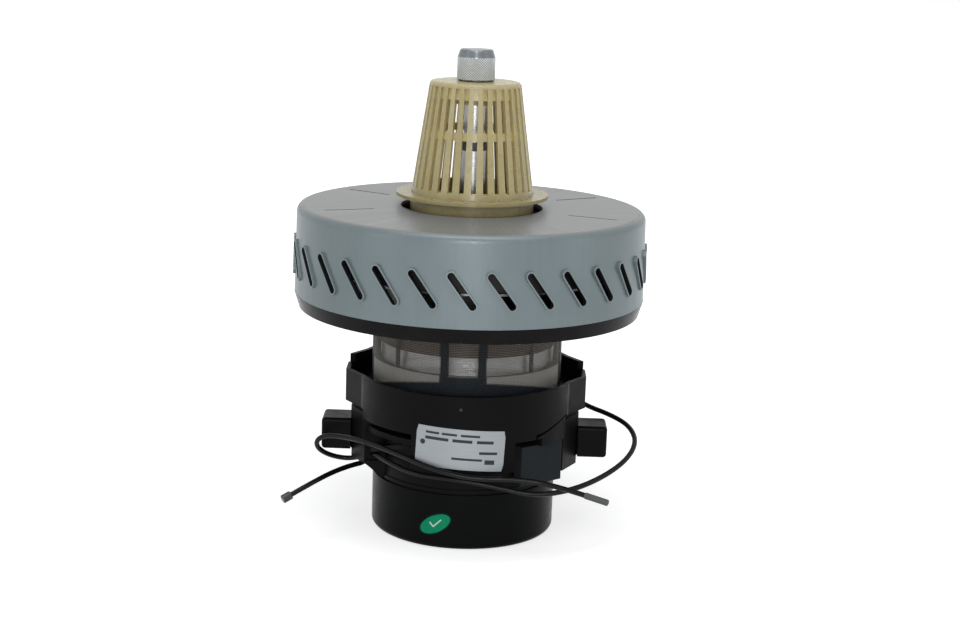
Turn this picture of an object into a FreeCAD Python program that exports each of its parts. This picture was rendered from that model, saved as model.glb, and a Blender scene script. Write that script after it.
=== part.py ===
import FreeCAD, Part
import math
import os

# Vacuum motor with a water separator cone, standing on its cooling-fan cup.
# Millimetres and degrees. Z is the shaft's axis, z = 0 is the resting plane, -Y is the front.
# An angle round the axis is counted from the front towards +X.

V = FreeCAD.Vector
os.makedirs("parts", exist_ok=True)

# Heights of the stacked pieces, from the resting plane up
CUP_HEIGHT = 30.3
FRAME_HEIGHT = 29.7
POST_HEIGHT = 12.0
CORE_HEIGHT = 32.3
BRACKET_HEIGHT = 18.6
BASE_HEIGHT = 7.2
FLANGE_LIFT = 5.7
CONE_HEIGHT = 61.0
NUT_HEIGHT = 16.4

# Clearances
FIT = 0.05
SLIP = 0.1
RUN = 0.3
AIR_GAP = 0.8

# How far a cutting shape stands past a face, and how far joined shapes run into each other
PAST = 1.0
LAP = 1.0

# Cooling-fan cup
CUP_R = 50.0
CUP_WALL = 2.2
CUP_FLOOR = 2.5
CUP_ROUND = 3.0
CUP_CORNER = 2.0
INTAKE_R = 21.0
GUARD_WIDTH = 3.6
GUARD_HUB_R = 7.0

# Shaft, bearings and nuts
SHAFT_R = 4.0
SHAFT_TIP = 11.0
SHAFT_CHAMFER = 0.6
BEARING_R = 11.0
BEARING_WIDTH = 7.0
BEARING_RACE_R = 7.0
BEARING_SHIELD = 0.1
SHAFT_LOW = 4.0
HEX_FLATS = 13.0
HEX_HEIGHT = 4.5
SPACER_WALL = 2.5

# Cooling fan
FAN_GAP = 4.8
FAN_DISC = 1.6
FAN_HEIGHT = 17.0
FAN_EYE_R = 19.0
FAN_HUB_R = 9.0
FAN_BLADES = 11
FAN_BLADE = 1.4
FAN_LAG = 28.0
FAN_EDGE = 0.5
FAN_NUT_LIFT = 1.0

# Brush frame
DRUM_STEP = 1.6
DRUM_WALL = 2.6
SPIGOT_DEPTH = 4.0
SHOULDER_HEIGHT = 2.6
SHOULDER_STEP = 1.0
RIM_GAP = 0.8
RIM_THICK = 3.0
HUB_WALL = 3.5
HUB_LIP = 1.5
HUB_LIP_R = 8.2
ARM_COUNT = 6
ARM_WIDTH = 5.0
ARM_HEIGHT = 5.0
ARM_LAP = 2.0
SILL_ROOM = 4.0
POST_R = 4.5
POST_DEPTH = 6.0
GUSSET_THICK = 2.5
GUSSET_LIFT = 0.7
GUSSET_SINK = 1.5
GUSSET_TOE = 2.0
WINDOW_LIFT = 9.7
WINDOW_HEIGHT = 7.6
WINDOW_FRAME = 0.4
BRACE_WIDTH = 2.6
BRACE_REACH = 15.5
BRACE_LOW = 14.5
BRACE_HIGH = 5.0
BRACE_SINK = 3.0
BRACE_ANGLE = -46.0
WEDGE_LEFT = 8.7
NOTCH_ANGLE = 34.5
NOTCH_WIDE = 18.0

# Ears, on the brush frame and on the motor housing
EAR_ROOT_Y = 24.0
EAR_ROOT_SINK = 0.5
EAR_FLAT_Y = 7.5
LOW_EAR_OUT = 2.0
LOW_EAR_ROOT_IN = 6.5
LOW_EAR_LIFT = 7.7
LOW_EAR_NOTCH = 4.4
LOW_EAR_RISE = 6.2
HIGH_EAR_OUT = 5.2
EAR_SPLIT = 2.8
EAR_WALL = 2.4
EAR_INSIDE_X = 30.0

# Terminal cover on the front right of the drum
COVER_DROP = 4.0
COVER_HEIGHT = 21.5
COVER_ANGLE = 39.0
COVER_PROUD = 5.7
COVER_LEFT = -3.9
COVER_RIGHT = 23.9
COVER_DEPTH = 14.0

# Commutator and brushes
COMMUTATOR_R = 13.0
COMMUTATOR_CORE_R = 8.0
COMMUTATOR_LENGTH = 16.0
COMMUTATOR_BARS = 24
BAR_GAP = 0.6
BAR_DEPTH = 1.0
BRUSH_LIFT = 20.1
BRUSH_THICK = 6.4
BRUSH_TALL = 11.0
BRUSH_LENGTH = 34.0
HOLDER_WALL = 0.8
HOLDER_START_GAP = 2.5
HOLDER_OUT = 11.5
SPRING_R = 2.6
SPRING_WALL = 0.8

# Brush caps
CAP_LENGTH = 15.9
CAP_HALF_Y = 10.0
CAP_BELOW = 8.9
CAP_ABOVE = 8.6
CAP_ROUND = 2.0

# Armature
ARMATURE_SLOTS = 12
SLOT_SINK = 6.6
SLOT_R = 3.2
SLOT_MOUTH = 2.0
WINDING_SINK = 2.2
WINDING_IN_R = 9.5
WINDING_LOW_GAP = 2.6
WINDING_HIGH_GAP = 1.0
RISER_HEIGHT = 1.0

# Stator and field coils
CORE_STEP = 1.6
YOKE_WIDTH = 7.9
POLE_DEPTH = 14.1
SHOE_THICK = 4.8
SHOE_ANGLE = 118.0
NECK_HALF = 12.0
COIL_THICK = 10.0
COIL_RISE = 9.3
BOLT_R = 2.0
BOLT_HEAD_R = 3.5
BOLT_HEAD = 3.2
BOLT_HOLD = 12.0

# Motor housing
HOUSING_R = 60.0
HOUSING_WALL = 2.2
COLLAR_HEIGHT = 22.6
COLLAR_BACK_RISE = 4.5
COLLAR_LIFT = 4.0
BACK_START_Y = 9.0
SEAM_ANGLE = 52.0
SEAM_LEFT = 13.0
SEAM_RIGHT = 13.8
SEAM_LIFT = 3.2
SEAM_RISE = 10.4
SEAM_WIDTH = 1.0
APRON_LIFT = 1.3
APRON_ANGLE = 33.0
APRON_WIDE = 14.0
DECK_LIFT = 16.5
DECK_THICK = 2.5
TONGUE_LENGTH = 18.4
TONGUE_ANGLE = 54.0
WEB_THICK = 2.0
WEB_GAP = 3.8
WEB_ANGLES = [20.0, -20.0, 160.0, 200.0]

# Screen frame and mesh
FRAME_GAP = 0.6
FRAME_WALL = 2.2
FRAME_RING = 14.5
FRAME_CAP = 3.6
PILLAR_WIDTH = 3.9
PILLAR_SPREAD = 11.4
THIN_PILLAR = 1.0
PILLAR_TURN = -1.4
MESH_WALL = 0.5

# Drive-end bracket
SKIRT_STEP = 1.1
SKIRT_WALL = 3.7
BRACKET_PLATE = 3.6
BOSS_R = 4.5

# Base ring
BASE_PROUD = 0.1
BASE_TAPER = 2.3
SEAT_STEP = 0.5
REGISTER_GAP = 0.4
BASE_PLATE = 3.0
BASE_RIM = 3.6
BASE_BORE_R = 9.0
SCREW_INSET = 6.85
SCREW_COUNT = 4
SCREW_R = 2.0
SCREW_LENGTH = 6.0
SCREW_HEAD_R = 3.8
SCREW_HEAD = 2.2

# Fan housing
CAN_R = 93.2
CAN_FLARE = 0.7
CAN_WALL = 1.5
CAN_ROUND = 4.0
CAN_HOLE_R = 38.0
SLOT_COUNT = 30
SLOT_TURN = -1.6
SLOT_DROP = 20.1
SLOT_HEIGHT = 14.8
SLOT_SLANT = 6.7
SLOT_WIDTH = 3.5
LIP_WIDTH = 0.9
LIP_PROUD = 1.5
LIP_SINK = 0.7
SLOT_REACH = 6.0
GROOVE_ANGLES = [68.0, -68.0, 123.0, -123.0]
GROOVE_IN_R = 55.0
GROOVE_LENGTH = 27.0
GROOVE_WIDTH = 1.6
GROOVE_DEPTH = 0.5

# Fan shell, diffuser and impellers
SHELL_GAP = 5.7
SHELL_WALL = 1.2
SHELL_LIFT = 1.7
IMPELLER_GAP = 4.8
IMPELLER_TOP_GAP = 2.55
IMPELLER_DISC = 1.2
IMPELLER_HEIGHT = 14.2
EYE_STEP = 4.0
BLADE_INSIDE = 5.0
BLADE_EDGE = 1.0
IMPELLER_HUB_R = 12.0
IMPELLER_HUB = 4.8
IMPELLER_BLADES = 8
IMPELLER_BLADE = 1.2
IMPELLER_LAG = 55.0
LOWER_IMPELLER_LIFT = 1.0
UPPER_IMPELLER_LIFT = 1.2
DIFFUSER_GAP = 6.8
DIFFUSER_PLATE = 1.5
DIFFUSER_VANE_HEIGHT = 5.8
DIFFUSER_EYE_STEP = 2.0
DIFFUSER_VANES = 10
DIFFUSER_LIFT = 0.2
DIFFUSER_HOLE = 2.0

# Separator
CONE_TAPER = 8.8
CONE_STEP = 0.1
CONE_WALL = 3.2
CONE_ROUND = 2.2
CONE_CAP = 4.0
WINDOW_DEPTH = 1.5
FLANGE_LAP = 2.6
FLANGE_THICK = 1.8
SEP_SKIRT_GAP = 5.0
SEP_SKIRT_WALL = 2.0
SEP_SKIRT_DEPTH = 8.3
BOSS_OUT_R = 11.0
SEP_BOSS_DEPTH = 8.0
RIB_COUNT = 32
RIB_TURN = 1.6
RIB_GAP = 2.5
RIB_PROUD = 1.4
RIB_LOW = 3.0
RIB_HIGH = 2.4
WINDOW_FOOT = 5.3
BAND_HEIGHT = 4.1
HIGH_WINDOW = 16.6
WINDOW_CAP = 8.3
SLEEVE_WALL = 1.6
STACK_NUT_LIFT = 24.5

# Knurled nut, and its washer in the separator's recess
NUT_R = 9.9
NUT_SHOULDER = 0.4
NUT_BAND = 3.9
NUT_BEVEL = 0.9
NUT_ROUND = 1.2
WASHER_R = 8.0
WASHER_THICK = 0.8
NUT_BORE_SPARE = 0.8

# Leads and their grommets
LEAD_R = 1.4
CORNER_SHARE = 0.45
GROMMET_R = 2.9
REAR_GROMMET_LENGTH = 9.5
LEFT_GROMMET_LENGTH = 7.0
SLEEVE_R = 1.7
SLEEVE_LENGTH = 13.0
TIP_R = 2.3
TIP_LENGTH = 5.0
END_CHAMFER = 0.2

# Levels worked out from the heights
Z_CUP = CUP_HEIGHT
Z_RIM = Z_CUP + FRAME_HEIGHT
Z_CORE = Z_RIM + POST_HEIGHT
Z_CORE_TOP = Z_CORE + CORE_HEIGHT
Z_BRACKET = Z_CORE_TOP + BRACKET_HEIGHT
Z_SEAT = Z_BRACKET - SEAT_STEP
Z_BASE = Z_BRACKET + BASE_HEIGHT
Z_LOW_IMPELLER = Z_BASE + LOWER_IMPELLER_LIFT
SHELL_LOW = Z_LOW_IMPELLER + IMPELLER_HEIGHT + SHELL_LIFT
Z_DIFFUSER = SHELL_LOW + DIFFUSER_LIFT
Z_DIFFUSER_TOP = Z_DIFFUSER + 2 * DIFFUSER_PLATE + DIFFUSER_VANE_HEIGHT
Z_HIGH_IMPELLER = Z_DIFFUSER_TOP + UPPER_IMPELLER_LIFT
SHELL_TOP = Z_HIGH_IMPELLER + IMPELLER_HEIGHT + IMPELLER_TOP_GAP + SHELL_WALL
Z_CAN_INSIDE = SHELL_TOP + RUN / 2
Z_CAN = Z_CAN_INSIDE + CAN_WALL
Z_FLANGE = Z_CAN + FLANGE_LIFT
Z_CONE = Z_FLANGE + CONE_HEIGHT
Z_WASHER = Z_CONE - WASHER_THICK
Z_NUT = Z_CONE + RUN
Z_SHAFT_TOP = Z_CONE + SHAFT_TIP
Z_LOW_BEARING = Z_CUP + HUB_LIP
FAN_Z = SHAFT_LOW + HEX_HEIGHT + FAN_NUT_LIFT
BRUSH_Z = Z_CUP + BRUSH_LIFT
CAP_LOW = BRUSH_Z - CAP_BELOW
CAP_HIGH = BRUSH_Z + CAP_ABOVE
GUSSET_LOW = Z_CUP + GUSSET_LIFT
WINDOW_LOW = Z_CUP + WINDOW_LIFT
WINDOW_HIGH = WINDOW_LOW + WINDOW_HEIGHT
LOW_EAR_BOTTOM = Z_CUP + LOW_EAR_LIFT
LOW_EAR_SILL = LOW_EAR_BOTTOM + LOW_EAR_NOTCH
LOW_EAR_TOP = Z_RIM + LOW_EAR_RISE
HIGH_EAR_BOTTOM = LOW_EAR_TOP + EAR_SPLIT
SEAM_LOW = Z_RIM + SEAM_LIFT
SEAM_HIGH = Z_RIM + SEAM_RISE
APRON_LOW = Z_RIM + APRON_LIFT
COVER_TOP = Z_RIM - COVER_DROP
COVER_LOW = COVER_TOP - COVER_HEIGHT
HOUSING_LOW = Z_RIM + COLLAR_LIFT
HOUSING_TOP = HOUSING_LOW + COLLAR_HEIGHT
HOUSING_BACK_TOP = HOUSING_TOP + COLLAR_BACK_RISE
DECK_TOP = HOUSING_LOW + DECK_LIFT
TONGUE_LOW = HOUSING_LOW - TONGUE_LENGTH
FRAME_RING_TOP = DECK_TOP + FRAME_RING
SLOT_TOP_Z = Z_CAN - SLOT_DROP
SLOT_LOW_Z = SLOT_TOP_Z - SLOT_HEIGHT
STACK_NUT_Z = Z_FLANGE + STACK_NUT_LIFT
Z_HIGH_BEARING = Z_BRACKET - HUB_LIP - BEARING_WIDTH
BORE_R = SHAFT_R + FIT

# Radii worked out from the driving ones and the clearances
FAN_R = CUP_R - CUP_WALL - FAN_GAP
DRUM_R = CUP_R - DRUM_STEP
COVER_FACE = DRUM_R + COVER_PROUD
RIM_R = HOUSING_R - HOUSING_WALL - RIM_GAP
EAR_ROOT_X = math.sqrt(HOUSING_R ** 2 - EAR_ROOT_Y ** 2) - EAR_ROOT_SINK
LOW_EAR_X = HOUSING_R + LOW_EAR_OUT
LOW_EAR_ROOT_X = HOUSING_R - LOW_EAR_ROOT_IN
HIGH_EAR_X = HOUSING_R + HIGH_EAR_OUT
CAP_START = LOW_EAR_X + SLIP
CAP_END = CAP_START + CAP_LENGTH
HOLDER_START = COMMUTATOR_R + HOLDER_START_GAP
HOLDER_END = LOW_EAR_X + HOLDER_OUT
CORE_R = DRUM_R - CORE_STEP
YOKE_R = CORE_R - YOKE_WIDTH
POLE_R = YOKE_R - POLE_DEPTH
ARMATURE_R = POLE_R - AIR_GAP
SLOT_CIRCLE_R = POLE_R - SLOT_SINK
WINDING_R = ARMATURE_R - WINDING_SINK
SHOE_R = POLE_R + SHOE_THICK
BOLT_CIRCLE_R = (CORE_R + YOKE_R) / 2
SCREW_CIRCLE_R = BOLT_CIRCLE_R - SCREW_INSET
SKIRT_R = CORE_R + SKIRT_STEP
FRAME_IN_R = SKIRT_R + FRAME_GAP
FRAME_OUT_R = FRAME_IN_R + FRAME_WALL
MESH_R = FRAME_OUT_R + SLIP + MESH_WALL
REGISTER_R = MESH_R + REGISTER_GAP
WEB_REACH = CORE_R + WEB_GAP
CAN_LOW_R = CAN_R + CAN_FLARE
BASE_R = CAN_LOW_R + BASE_PROUD
BASE_LOW_R = BASE_R - BASE_TAPER
SHELL_R = CAN_R - CAN_WALL - SHELL_GAP
IMPELLER_R = SHELL_R - SHELL_WALL - IMPELLER_GAP
DIFFUSER_R = SHELL_R - SHELL_WALL - DIFFUSER_GAP
FLANGE_R = CAN_HOLE_R + FLANGE_LAP
SEP_SKIRT_R = CAN_HOLE_R - SEP_SKIRT_GAP
CONE_LOW_R = SEP_SKIRT_R - CONE_STEP
CONE_TOP_R = CONE_LOW_R - CONE_TAPER
IMPELLER_EYE_R = SEP_SKIRT_R - EYE_STEP
DIFFUSER_EYE_R = IMPELLER_EYE_R - DIFFUSER_EYE_STEP


# Shape helpers

def turned(shape, angle):
    """A copy turned about the shaft's axis."""
    copy = shape.copy()
    copy.rotate(V(0, 0, 0), V(0, 0, 1), angle)
    return copy


def pattern(shape, count, first=0.0):
    """Copies spaced evenly round the shaft's axis."""
    return [turned(shape, first + 360.0 * i / count) for i in range(count)]


def joined(shapes):
    """One solid from shapes that overlap or share faces."""
    return shapes[0].fuse(shapes[1:]).removeSplitter() if len(shapes) > 1 else shapes[0]


def loop(points, place):
    """A closed wire. A point of two numbers ends a line, one of four ends an arc through its first two."""
    edges = []
    here = points[0][-2:]
    for point in points[1:] + [points[0][-2:]]:
        there = point[-2:]
        if len(point) == 4:
            edges.append(Part.Arc(place(*here), place(*point[:2]), place(*there)).toShape())
        elif math.dist(here, there) > 1e-6:
            edges.append(Part.LineSegment(place(*here), place(*there)).toShape())
        here = there
    return Part.Wire(edges)


def rounded(centre_a, centre_b, radius, start, end):
    """The arc's middle and end, for a point of four numbers."""
    middle = math.radians((start + end) / 2)
    stop = math.radians(end)
    return (centre_a + radius * math.cos(middle), centre_b + radius * math.sin(middle),
            centre_a + radius * math.cos(stop), centre_b + radius * math.sin(stop))


def lathe(points):
    """A body turned from an outline of radius and height."""
    face = Part.Face(loop(points, lambda r, z: V(r, 0, z)))
    return face.revolve(V(0, 0, 0), V(0, 0, 1), 360)


def ring(inner, outer, low, high):
    """A plain tube, or a disc where the inner radius is 0."""
    body = Part.makeCylinder(outer, high - low, V(0, 0, low))
    if inner > 0:
        body = body.cut(Part.makeCylinder(inner, high - low + 2 * PAST, V(0, 0, low - PAST)))
    return body


def prism(plan, low, high):
    """A plan outline raised from low to high."""
    face = Part.Face(loop(plan, lambda x, y: V(x, y, low)))
    return face.extrude(V(0, 0, high - low))


def slab(outline, y_from, y_to):
    """An outline in x and z, drawn on the plane y_from and carried to y_to."""
    face = Part.Face(loop(outline, lambda x, z: V(x, y_from, z)))
    return face.extrude(V(0, y_to - y_from, 0))


def block(x0, x1, y0, y1, z0, z1):
    return Part.makeBox(x1 - x0, y1 - y0, z1 - z0, V(x0, y0, z0))


def sector(inner, outer, low, high, angle):
    """A piece of tube centred on the front, angle wide."""
    half = math.radians(angle / 2)
    reach = 2 * outer
    if angle < 170:
        wedge = [(0, 0), (-reach * math.tan(half), -reach), (reach * math.tan(half), -reach)]
        return ring(inner, outer, low, high).common(prism(wedge, low, high))
    return ring(inner, outer, low, high).common(block(-reach, reach, -reach, 0, low, high))


def front_bar(width, inner, outer, low, high):
    """A bar that points to the front, between two radii."""
    return block(-width / 2, width / 2, -outer, -inner, low, high)


def obround(x0, z0, x1, z1, width):
    """An outline in x and z with half-round ends."""
    length = math.hypot(x1 - x0, z1 - z0)
    dx, dz = (x1 - x0) / length * width / 2, (z1 - z0) / length * width / 2
    return [(x0 - dz, z0 + dx), (x1 - dz, z1 + dx), (x1 + dx, z1 + dz, x1 + dz, z1 - dx),
            (x0 + dz, z0 - dx), (x0 - dx, z0 - dz, x0 - dz, z0 + dx)]


def curved_blade(inner, outer, lag, thickness, low, high):
    """A blade that starts at the front and bends back by lag degrees."""
    spots = []
    for share in (0.0, 0.5, 1.0):
        radius = inner + (outer - inner) * share
        angle = math.radians(-90 - lag * share ** 1.5)
        spots.append((radius * math.cos(angle), radius * math.sin(angle)))
    sides = []
    for sign in (1, -1):
        side = []
        for i, (x, y) in enumerate(spots):
            ax, ay = spots[max(i - 1, 0)]
            bx, by = spots[min(i + 1, 2)]
            span = math.hypot(bx - ax, by - ay)
            side.append((x - sign * (by - ay) / span * thickness / 2, y + sign * (bx - ax) / span * thickness / 2))
        sides.append(side)
    left, right = sides
    plan = [left[0], left[1] + left[2], right[2], right[1] + right[0]]
    return prism(plan, low, high)


def hexagon(flats, low, high):
    corner = flats / 2 / math.cos(math.radians(30))
    plan = [(corner * math.cos(math.radians(60 * i)), corner * math.sin(math.radians(60 * i))) for i in range(6)]
    return prism(plan, low, high)


def around(angle, radius, z):
    """A point from its angle, radius and height."""
    return V(radius * math.sin(math.radians(angle)), -radius * math.cos(math.radians(angle)), z)


def save(name, shape):
    solids = shape.Solids
    if not shape.isValid() or not solids:
        print("PROBLEM", name, "valid", shape.isValid(), "solids", len(solids))
    body = solids[0] if len(solids) == 1 else Part.makeCompound(solids)
    body.exportStep("parts/" + name + ".step")
    print(name, len(solids), "solids", round(body.Volume / 1000, 2), "cm3")


# Cooling-fan cup, closed below by a guarded intake

def bottom_cover():
    wall_in = CUP_R - CUP_WALL
    body = lathe([
        (INTAKE_R, 0), (CUP_R - CUP_ROUND, 0), rounded(CUP_R - CUP_ROUND, CUP_ROUND, CUP_ROUND, -90, 0),
        (CUP_R, CUP_HEIGHT), (wall_in, CUP_HEIGHT), (wall_in, CUP_FLOOR + CUP_CORNER),
        (wall_in - CUP_CORNER, CUP_FLOOR), (INTAKE_R, CUP_FLOOR)])
    bars = [turned(front_bar(GUARD_WIDTH, -INTAKE_R - PAST, INTAKE_R + PAST, 0, CUP_FLOOR), a) for a in (0, 90)]
    return joined([body] + bars + [ring(0, GUARD_HUB_R, 0, CUP_FLOOR)])


# Cooling fan

def cooling_fan():
    top = FAN_Z + FAN_HEIGHT
    disc = ring(BORE_R, FAN_R, top - FAN_DISC, top)
    hub = ring(BORE_R, FAN_HUB_R, FAN_Z, top)
    blade = curved_blade(FAN_EYE_R, FAN_R - FAN_EDGE, FAN_LAG, FAN_BLADE, FAN_Z, top - FAN_DISC / 2)
    return joined([disc, hub] + pattern(blade, FAN_BLADES))


def fan_nut():
    return hexagon(HEX_FLATS, FAN_Z - HEX_HEIGHT, FAN_Z).cut(ring(0, BORE_R, 0, FAN_Z + PAST))


def fan_spacer():
    return ring(BORE_R, SHAFT_R + SPACER_WALL, FAN_Z + FAN_HEIGHT, Z_LOW_BEARING)


# Bearings, sealed: an outer ring with its shields and an inner ring

def bearing_outer(low):
    return ring(BEARING_RACE_R + BEARING_SHIELD, BEARING_R, low, low + BEARING_WIDTH)


def bearing_inner(low):
    return ring(BORE_R, BEARING_RACE_R, low, low + BEARING_WIDTH)


# Ears: a flat outer face between two slanted ones

def ear_plan(flat_x, root_x, inset):
    """One ear's outline at +X, with its outer faces drawn in by inset."""
    run_x, run_y = flat_x - root_x, EAR_ROOT_Y - EAR_FLAT_Y
    slope = math.hypot(run_x, run_y)
    shifted_x, shifted_y = root_x - inset * run_y / slope, -EAR_ROOT_Y + inset * run_x / slope
    side_y = EAR_ROOT_Y - inset
    side_x = shifted_x + (-side_y - shifted_y) * run_x / run_y
    front_x = flat_x - inset
    front_y = -(shifted_y + (front_x - shifted_x) * run_y / run_x)
    return [(EAR_INSIDE_X, -side_y), (side_x, -side_y), (front_x, -front_y),
            (front_x, front_y), (side_x, side_y), (EAR_INSIDE_X, side_y)]


def ears(flat_x, root_x, inset, low, high):
    one = prism(ear_plan(flat_x, root_x, inset), low, high)
    return [one, turned(one, 180)]


# Brush frame: a drum with a rim, ears for the brush caps, posts for the stator and the lower bearing's hub

def brush_openings():
    """The holes that the brush holders pass through."""
    half_y = BRUSH_THICK / 2 + FIT + HOLDER_WALL + FIT
    half_z = BRUSH_TALL / 2 + FIT + HOLDER_WALL + FIT
    return block(-CAP_END, CAP_END, -half_y, half_y, BRUSH_Z - half_z, BRUSH_Z + half_z)


def post_circle(radius, low, high):
    post = Part.makeCylinder(radius, high - low, V(0, -BOLT_CIRCLE_R, low))
    return pattern(post, 4, 45)


def gusset(side, toe, foot):
    """An upright plate between drum and ear. Its lower edge is level for the toe, then meets the ear at foot."""
    drum_x = math.sqrt(DRUM_R ** 2 - EAR_ROOT_Y ** 2)
    near, far = drum_x - GUSSET_SINK, LOW_EAR_ROOT_X - LAP
    plate = slab([(near, GUSSET_LOW), (drum_x + toe, GUSSET_LOW), (far, foot),
                  (far, Z_RIM - LAP), (near, Z_RIM - LAP)], -EAR_ROOT_Y, GUSSET_THICK - EAR_ROOT_Y)
    return plate if side > 0 else plate.mirror(V(0, 0, 0), V(1, 0, 0))


def brace():
    """A diagonal bar under the rim, front left."""
    low, high = Z_RIM - BRACE_LOW, Z_RIM - BRACE_HIGH
    bar = slab([(-BRACE_REACH, low), (BRACE_REACH, high), (BRACE_REACH, high + BRACE_WIDTH),
                (-BRACE_REACH, low + BRACE_WIDTH)], BRACE_SINK - RIM_R, BRACE_SINK - DRUM_R)
    return turned(bar, BRACE_ANGLE)


def wedge():
    """The piece that fills the space under the collar's diagonal seam."""
    low, left, right = Z_RIM - RIM_THICK, SEAM_WIDTH - SEAM_LEFT, SEAM_RIGHT - SEAM_WIDTH
    outline = [(-WEDGE_LEFT, low), (right, low), (right, SEAM_HIGH - SEAM_WIDTH), (left, SEAM_LOW - SEAM_WIDTH),
               (left, APRON_LOW), (-WEDGE_LEFT, APRON_LOW)]
    body = slab(outline, -HOUSING_R - PAST, -DRUM_R)
    return body.common(ring(RIM_R - LAP, HOUSING_R, low, SEAM_HIGH))


def brush_frame():
    drum_in = DRUM_R - DRUM_WALL
    hub_r = BEARING_R + HUB_WALL
    hub_top = Z_LOW_BEARING + BEARING_WIDTH
    parts = [
        ring(drum_in, DRUM_R, Z_CUP, Z_RIM),
        ring(drum_in, CUP_R - CUP_WALL - FIT, Z_CUP - SPIGOT_DEPTH, Z_CUP),
        ring(drum_in, CUP_R - SHOULDER_STEP, Z_CUP, Z_CUP + SHOULDER_HEIGHT),
        ring(drum_in, RIM_R, Z_RIM - RIM_THICK, Z_RIM)]
    for low_ear in ears(LOW_EAR_X, LOW_EAR_ROOT_X, 0, LOW_EAR_BOTTOM, LOW_EAR_TOP):
        inside = ears(LOW_EAR_X, LOW_EAR_ROOT_X, EAR_WALL, LOW_EAR_BOTTOM - PAST, LOW_EAR_TOP + PAST)
        inside += [ring(0, DRUM_R - LAP, LOW_EAR_BOTTOM - PAST, LOW_EAR_TOP + PAST), cover_block(FIT)]
        parts.append(low_ear.cut(inside))
    decks = ears(LOW_EAR_X, LOW_EAR_ROOT_X, EAR_WALL / 2, Z_RIM - RIM_THICK, Z_RIM)
    parts += [deck.cut(ring(0, drum_in + PAST, Z_RIM - RIM_THICK - PAST, Z_RIM + PAST)) for deck in decks]
    gussets = [gusset(-1, GUSSET_TOE, LOW_EAR_BOTTOM)]
    gussets += [turned(gusset(side, GUSSET_TOE, GUSSET_LOW), 180) for side in (1, -1)]
    parts += gussets + [brace(), turned(brace(), 180)] + pattern(wedge(), 2, SEAM_ANGLE)
    parts += post_circle(POST_R, Z_RIM - POST_DEPTH, Z_CORE)
    arm = front_bar(ARM_WIDTH, hub_r - ARM_LAP, drum_in + PAST, Z_CUP, Z_CUP + ARM_HEIGHT)
    parts += pattern(arm, ARM_COUNT, 180.0 / ARM_COUNT) + [ring(HUB_LIP_R, hub_r, Z_CUP, hub_top)]
    frame = joined(parts)
    sill = block(-CAP_END, CAP_END, -EAR_FLAT_Y - PAST, EAR_FLAT_Y + PAST, LOW_EAR_BOTTOM - PAST, LOW_EAR_SILL)
    sill = sill.cut(ring(0, DRUM_R + SILL_ROOM, 0, Z_RIM))
    window_right = DRUM_WALL - DRUM_R - WINDOW_FRAME
    lead_window = block(-LOW_EAR_ROOT_X + PAST, window_right, -EAR_ROOT_Y - PAST, GUSSET_THICK + PAST - EAR_ROOT_Y,
                        WINDOW_LOW, WINDOW_HIGH)
    notch = sector(DRUM_R, RIM_R + PAST, Z_RIM - RIM_THICK - PAST, Z_RIM + PAST, NOTCH_WIDE)
    seat = ring(0, BEARING_R + FIT, Z_LOW_BEARING, hub_top + PAST)
    bolt_holes = post_circle(BOLT_R + SLIP, Z_RIM - POST_DEPTH - PAST, Z_CORE + PAST)
    bolt_holes += post_circle(BOLT_HEAD_R + SLIP, Z_CUP + ARM_HEIGHT, Z_RIM - POST_DEPTH)
    bolt_holes += pattern(notch, 2, NOTCH_ANGLE)
    return frame.cut([brush_openings(), sill, lead_window, seat, grommet_body(LEFT_GROMMET, FIT)] + bolt_holes)


def cover_block(clearance=0):
    """The terminal cover's outside. A clearance makes the space for it."""
    body = block(COVER_LEFT - clearance, COVER_RIGHT + clearance, -COVER_FACE - clearance, COVER_DEPTH - COVER_FACE,
                 COVER_LOW - clearance, COVER_TOP + clearance)
    return turned(body, COVER_ANGLE)


def terminal_cover():
    return cover_block().cut(ring(0, DRUM_R + FIT, COVER_LOW - PAST, COVER_TOP + PAST))


# Brush gear, built on +X and turned for the left side

def rod_x(radius, start, end):
    return Part.makeCylinder(radius, end - start, V(start, 0, BRUSH_Z), V(1, 0, 0))


def brush():
    start = COMMUTATOR_R + RUN
    body = block(start, start + BRUSH_LENGTH, -BRUSH_THICK / 2, BRUSH_THICK / 2,
                 BRUSH_Z - BRUSH_TALL / 2, BRUSH_Z + BRUSH_TALL / 2)
    face = Part.makeCylinder(start, BRUSH_TALL + 2 * PAST, V(0, 0, BRUSH_Z - BRUSH_TALL / 2 - PAST))
    return body.cut(face)


def brush_spring():
    start = COMMUTATOR_R + RUN + BRUSH_LENGTH + RUN
    end = HOLDER_END - HOLDER_WALL - RUN
    return rod_x(SPRING_R, start, end).cut(rod_x(SPRING_R - SPRING_WALL, start - PAST, end + PAST))


def brush_holder():
    inner_y, inner_z = BRUSH_THICK / 2 + SLIP, BRUSH_TALL / 2 + SLIP
    outer_y, outer_z = BRUSH_THICK / 2 + FIT + HOLDER_WALL, BRUSH_TALL / 2 + FIT + HOLDER_WALL
    outside = block(HOLDER_START, HOLDER_END, -outer_y, outer_y, BRUSH_Z - outer_z, BRUSH_Z + outer_z)
    inside = block(HOLDER_START - PAST, HOLDER_END - HOLDER_WALL, -inner_y, inner_y,
                   BRUSH_Z - inner_z, BRUSH_Z + inner_z)
    return outside.cut(inside)


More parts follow.
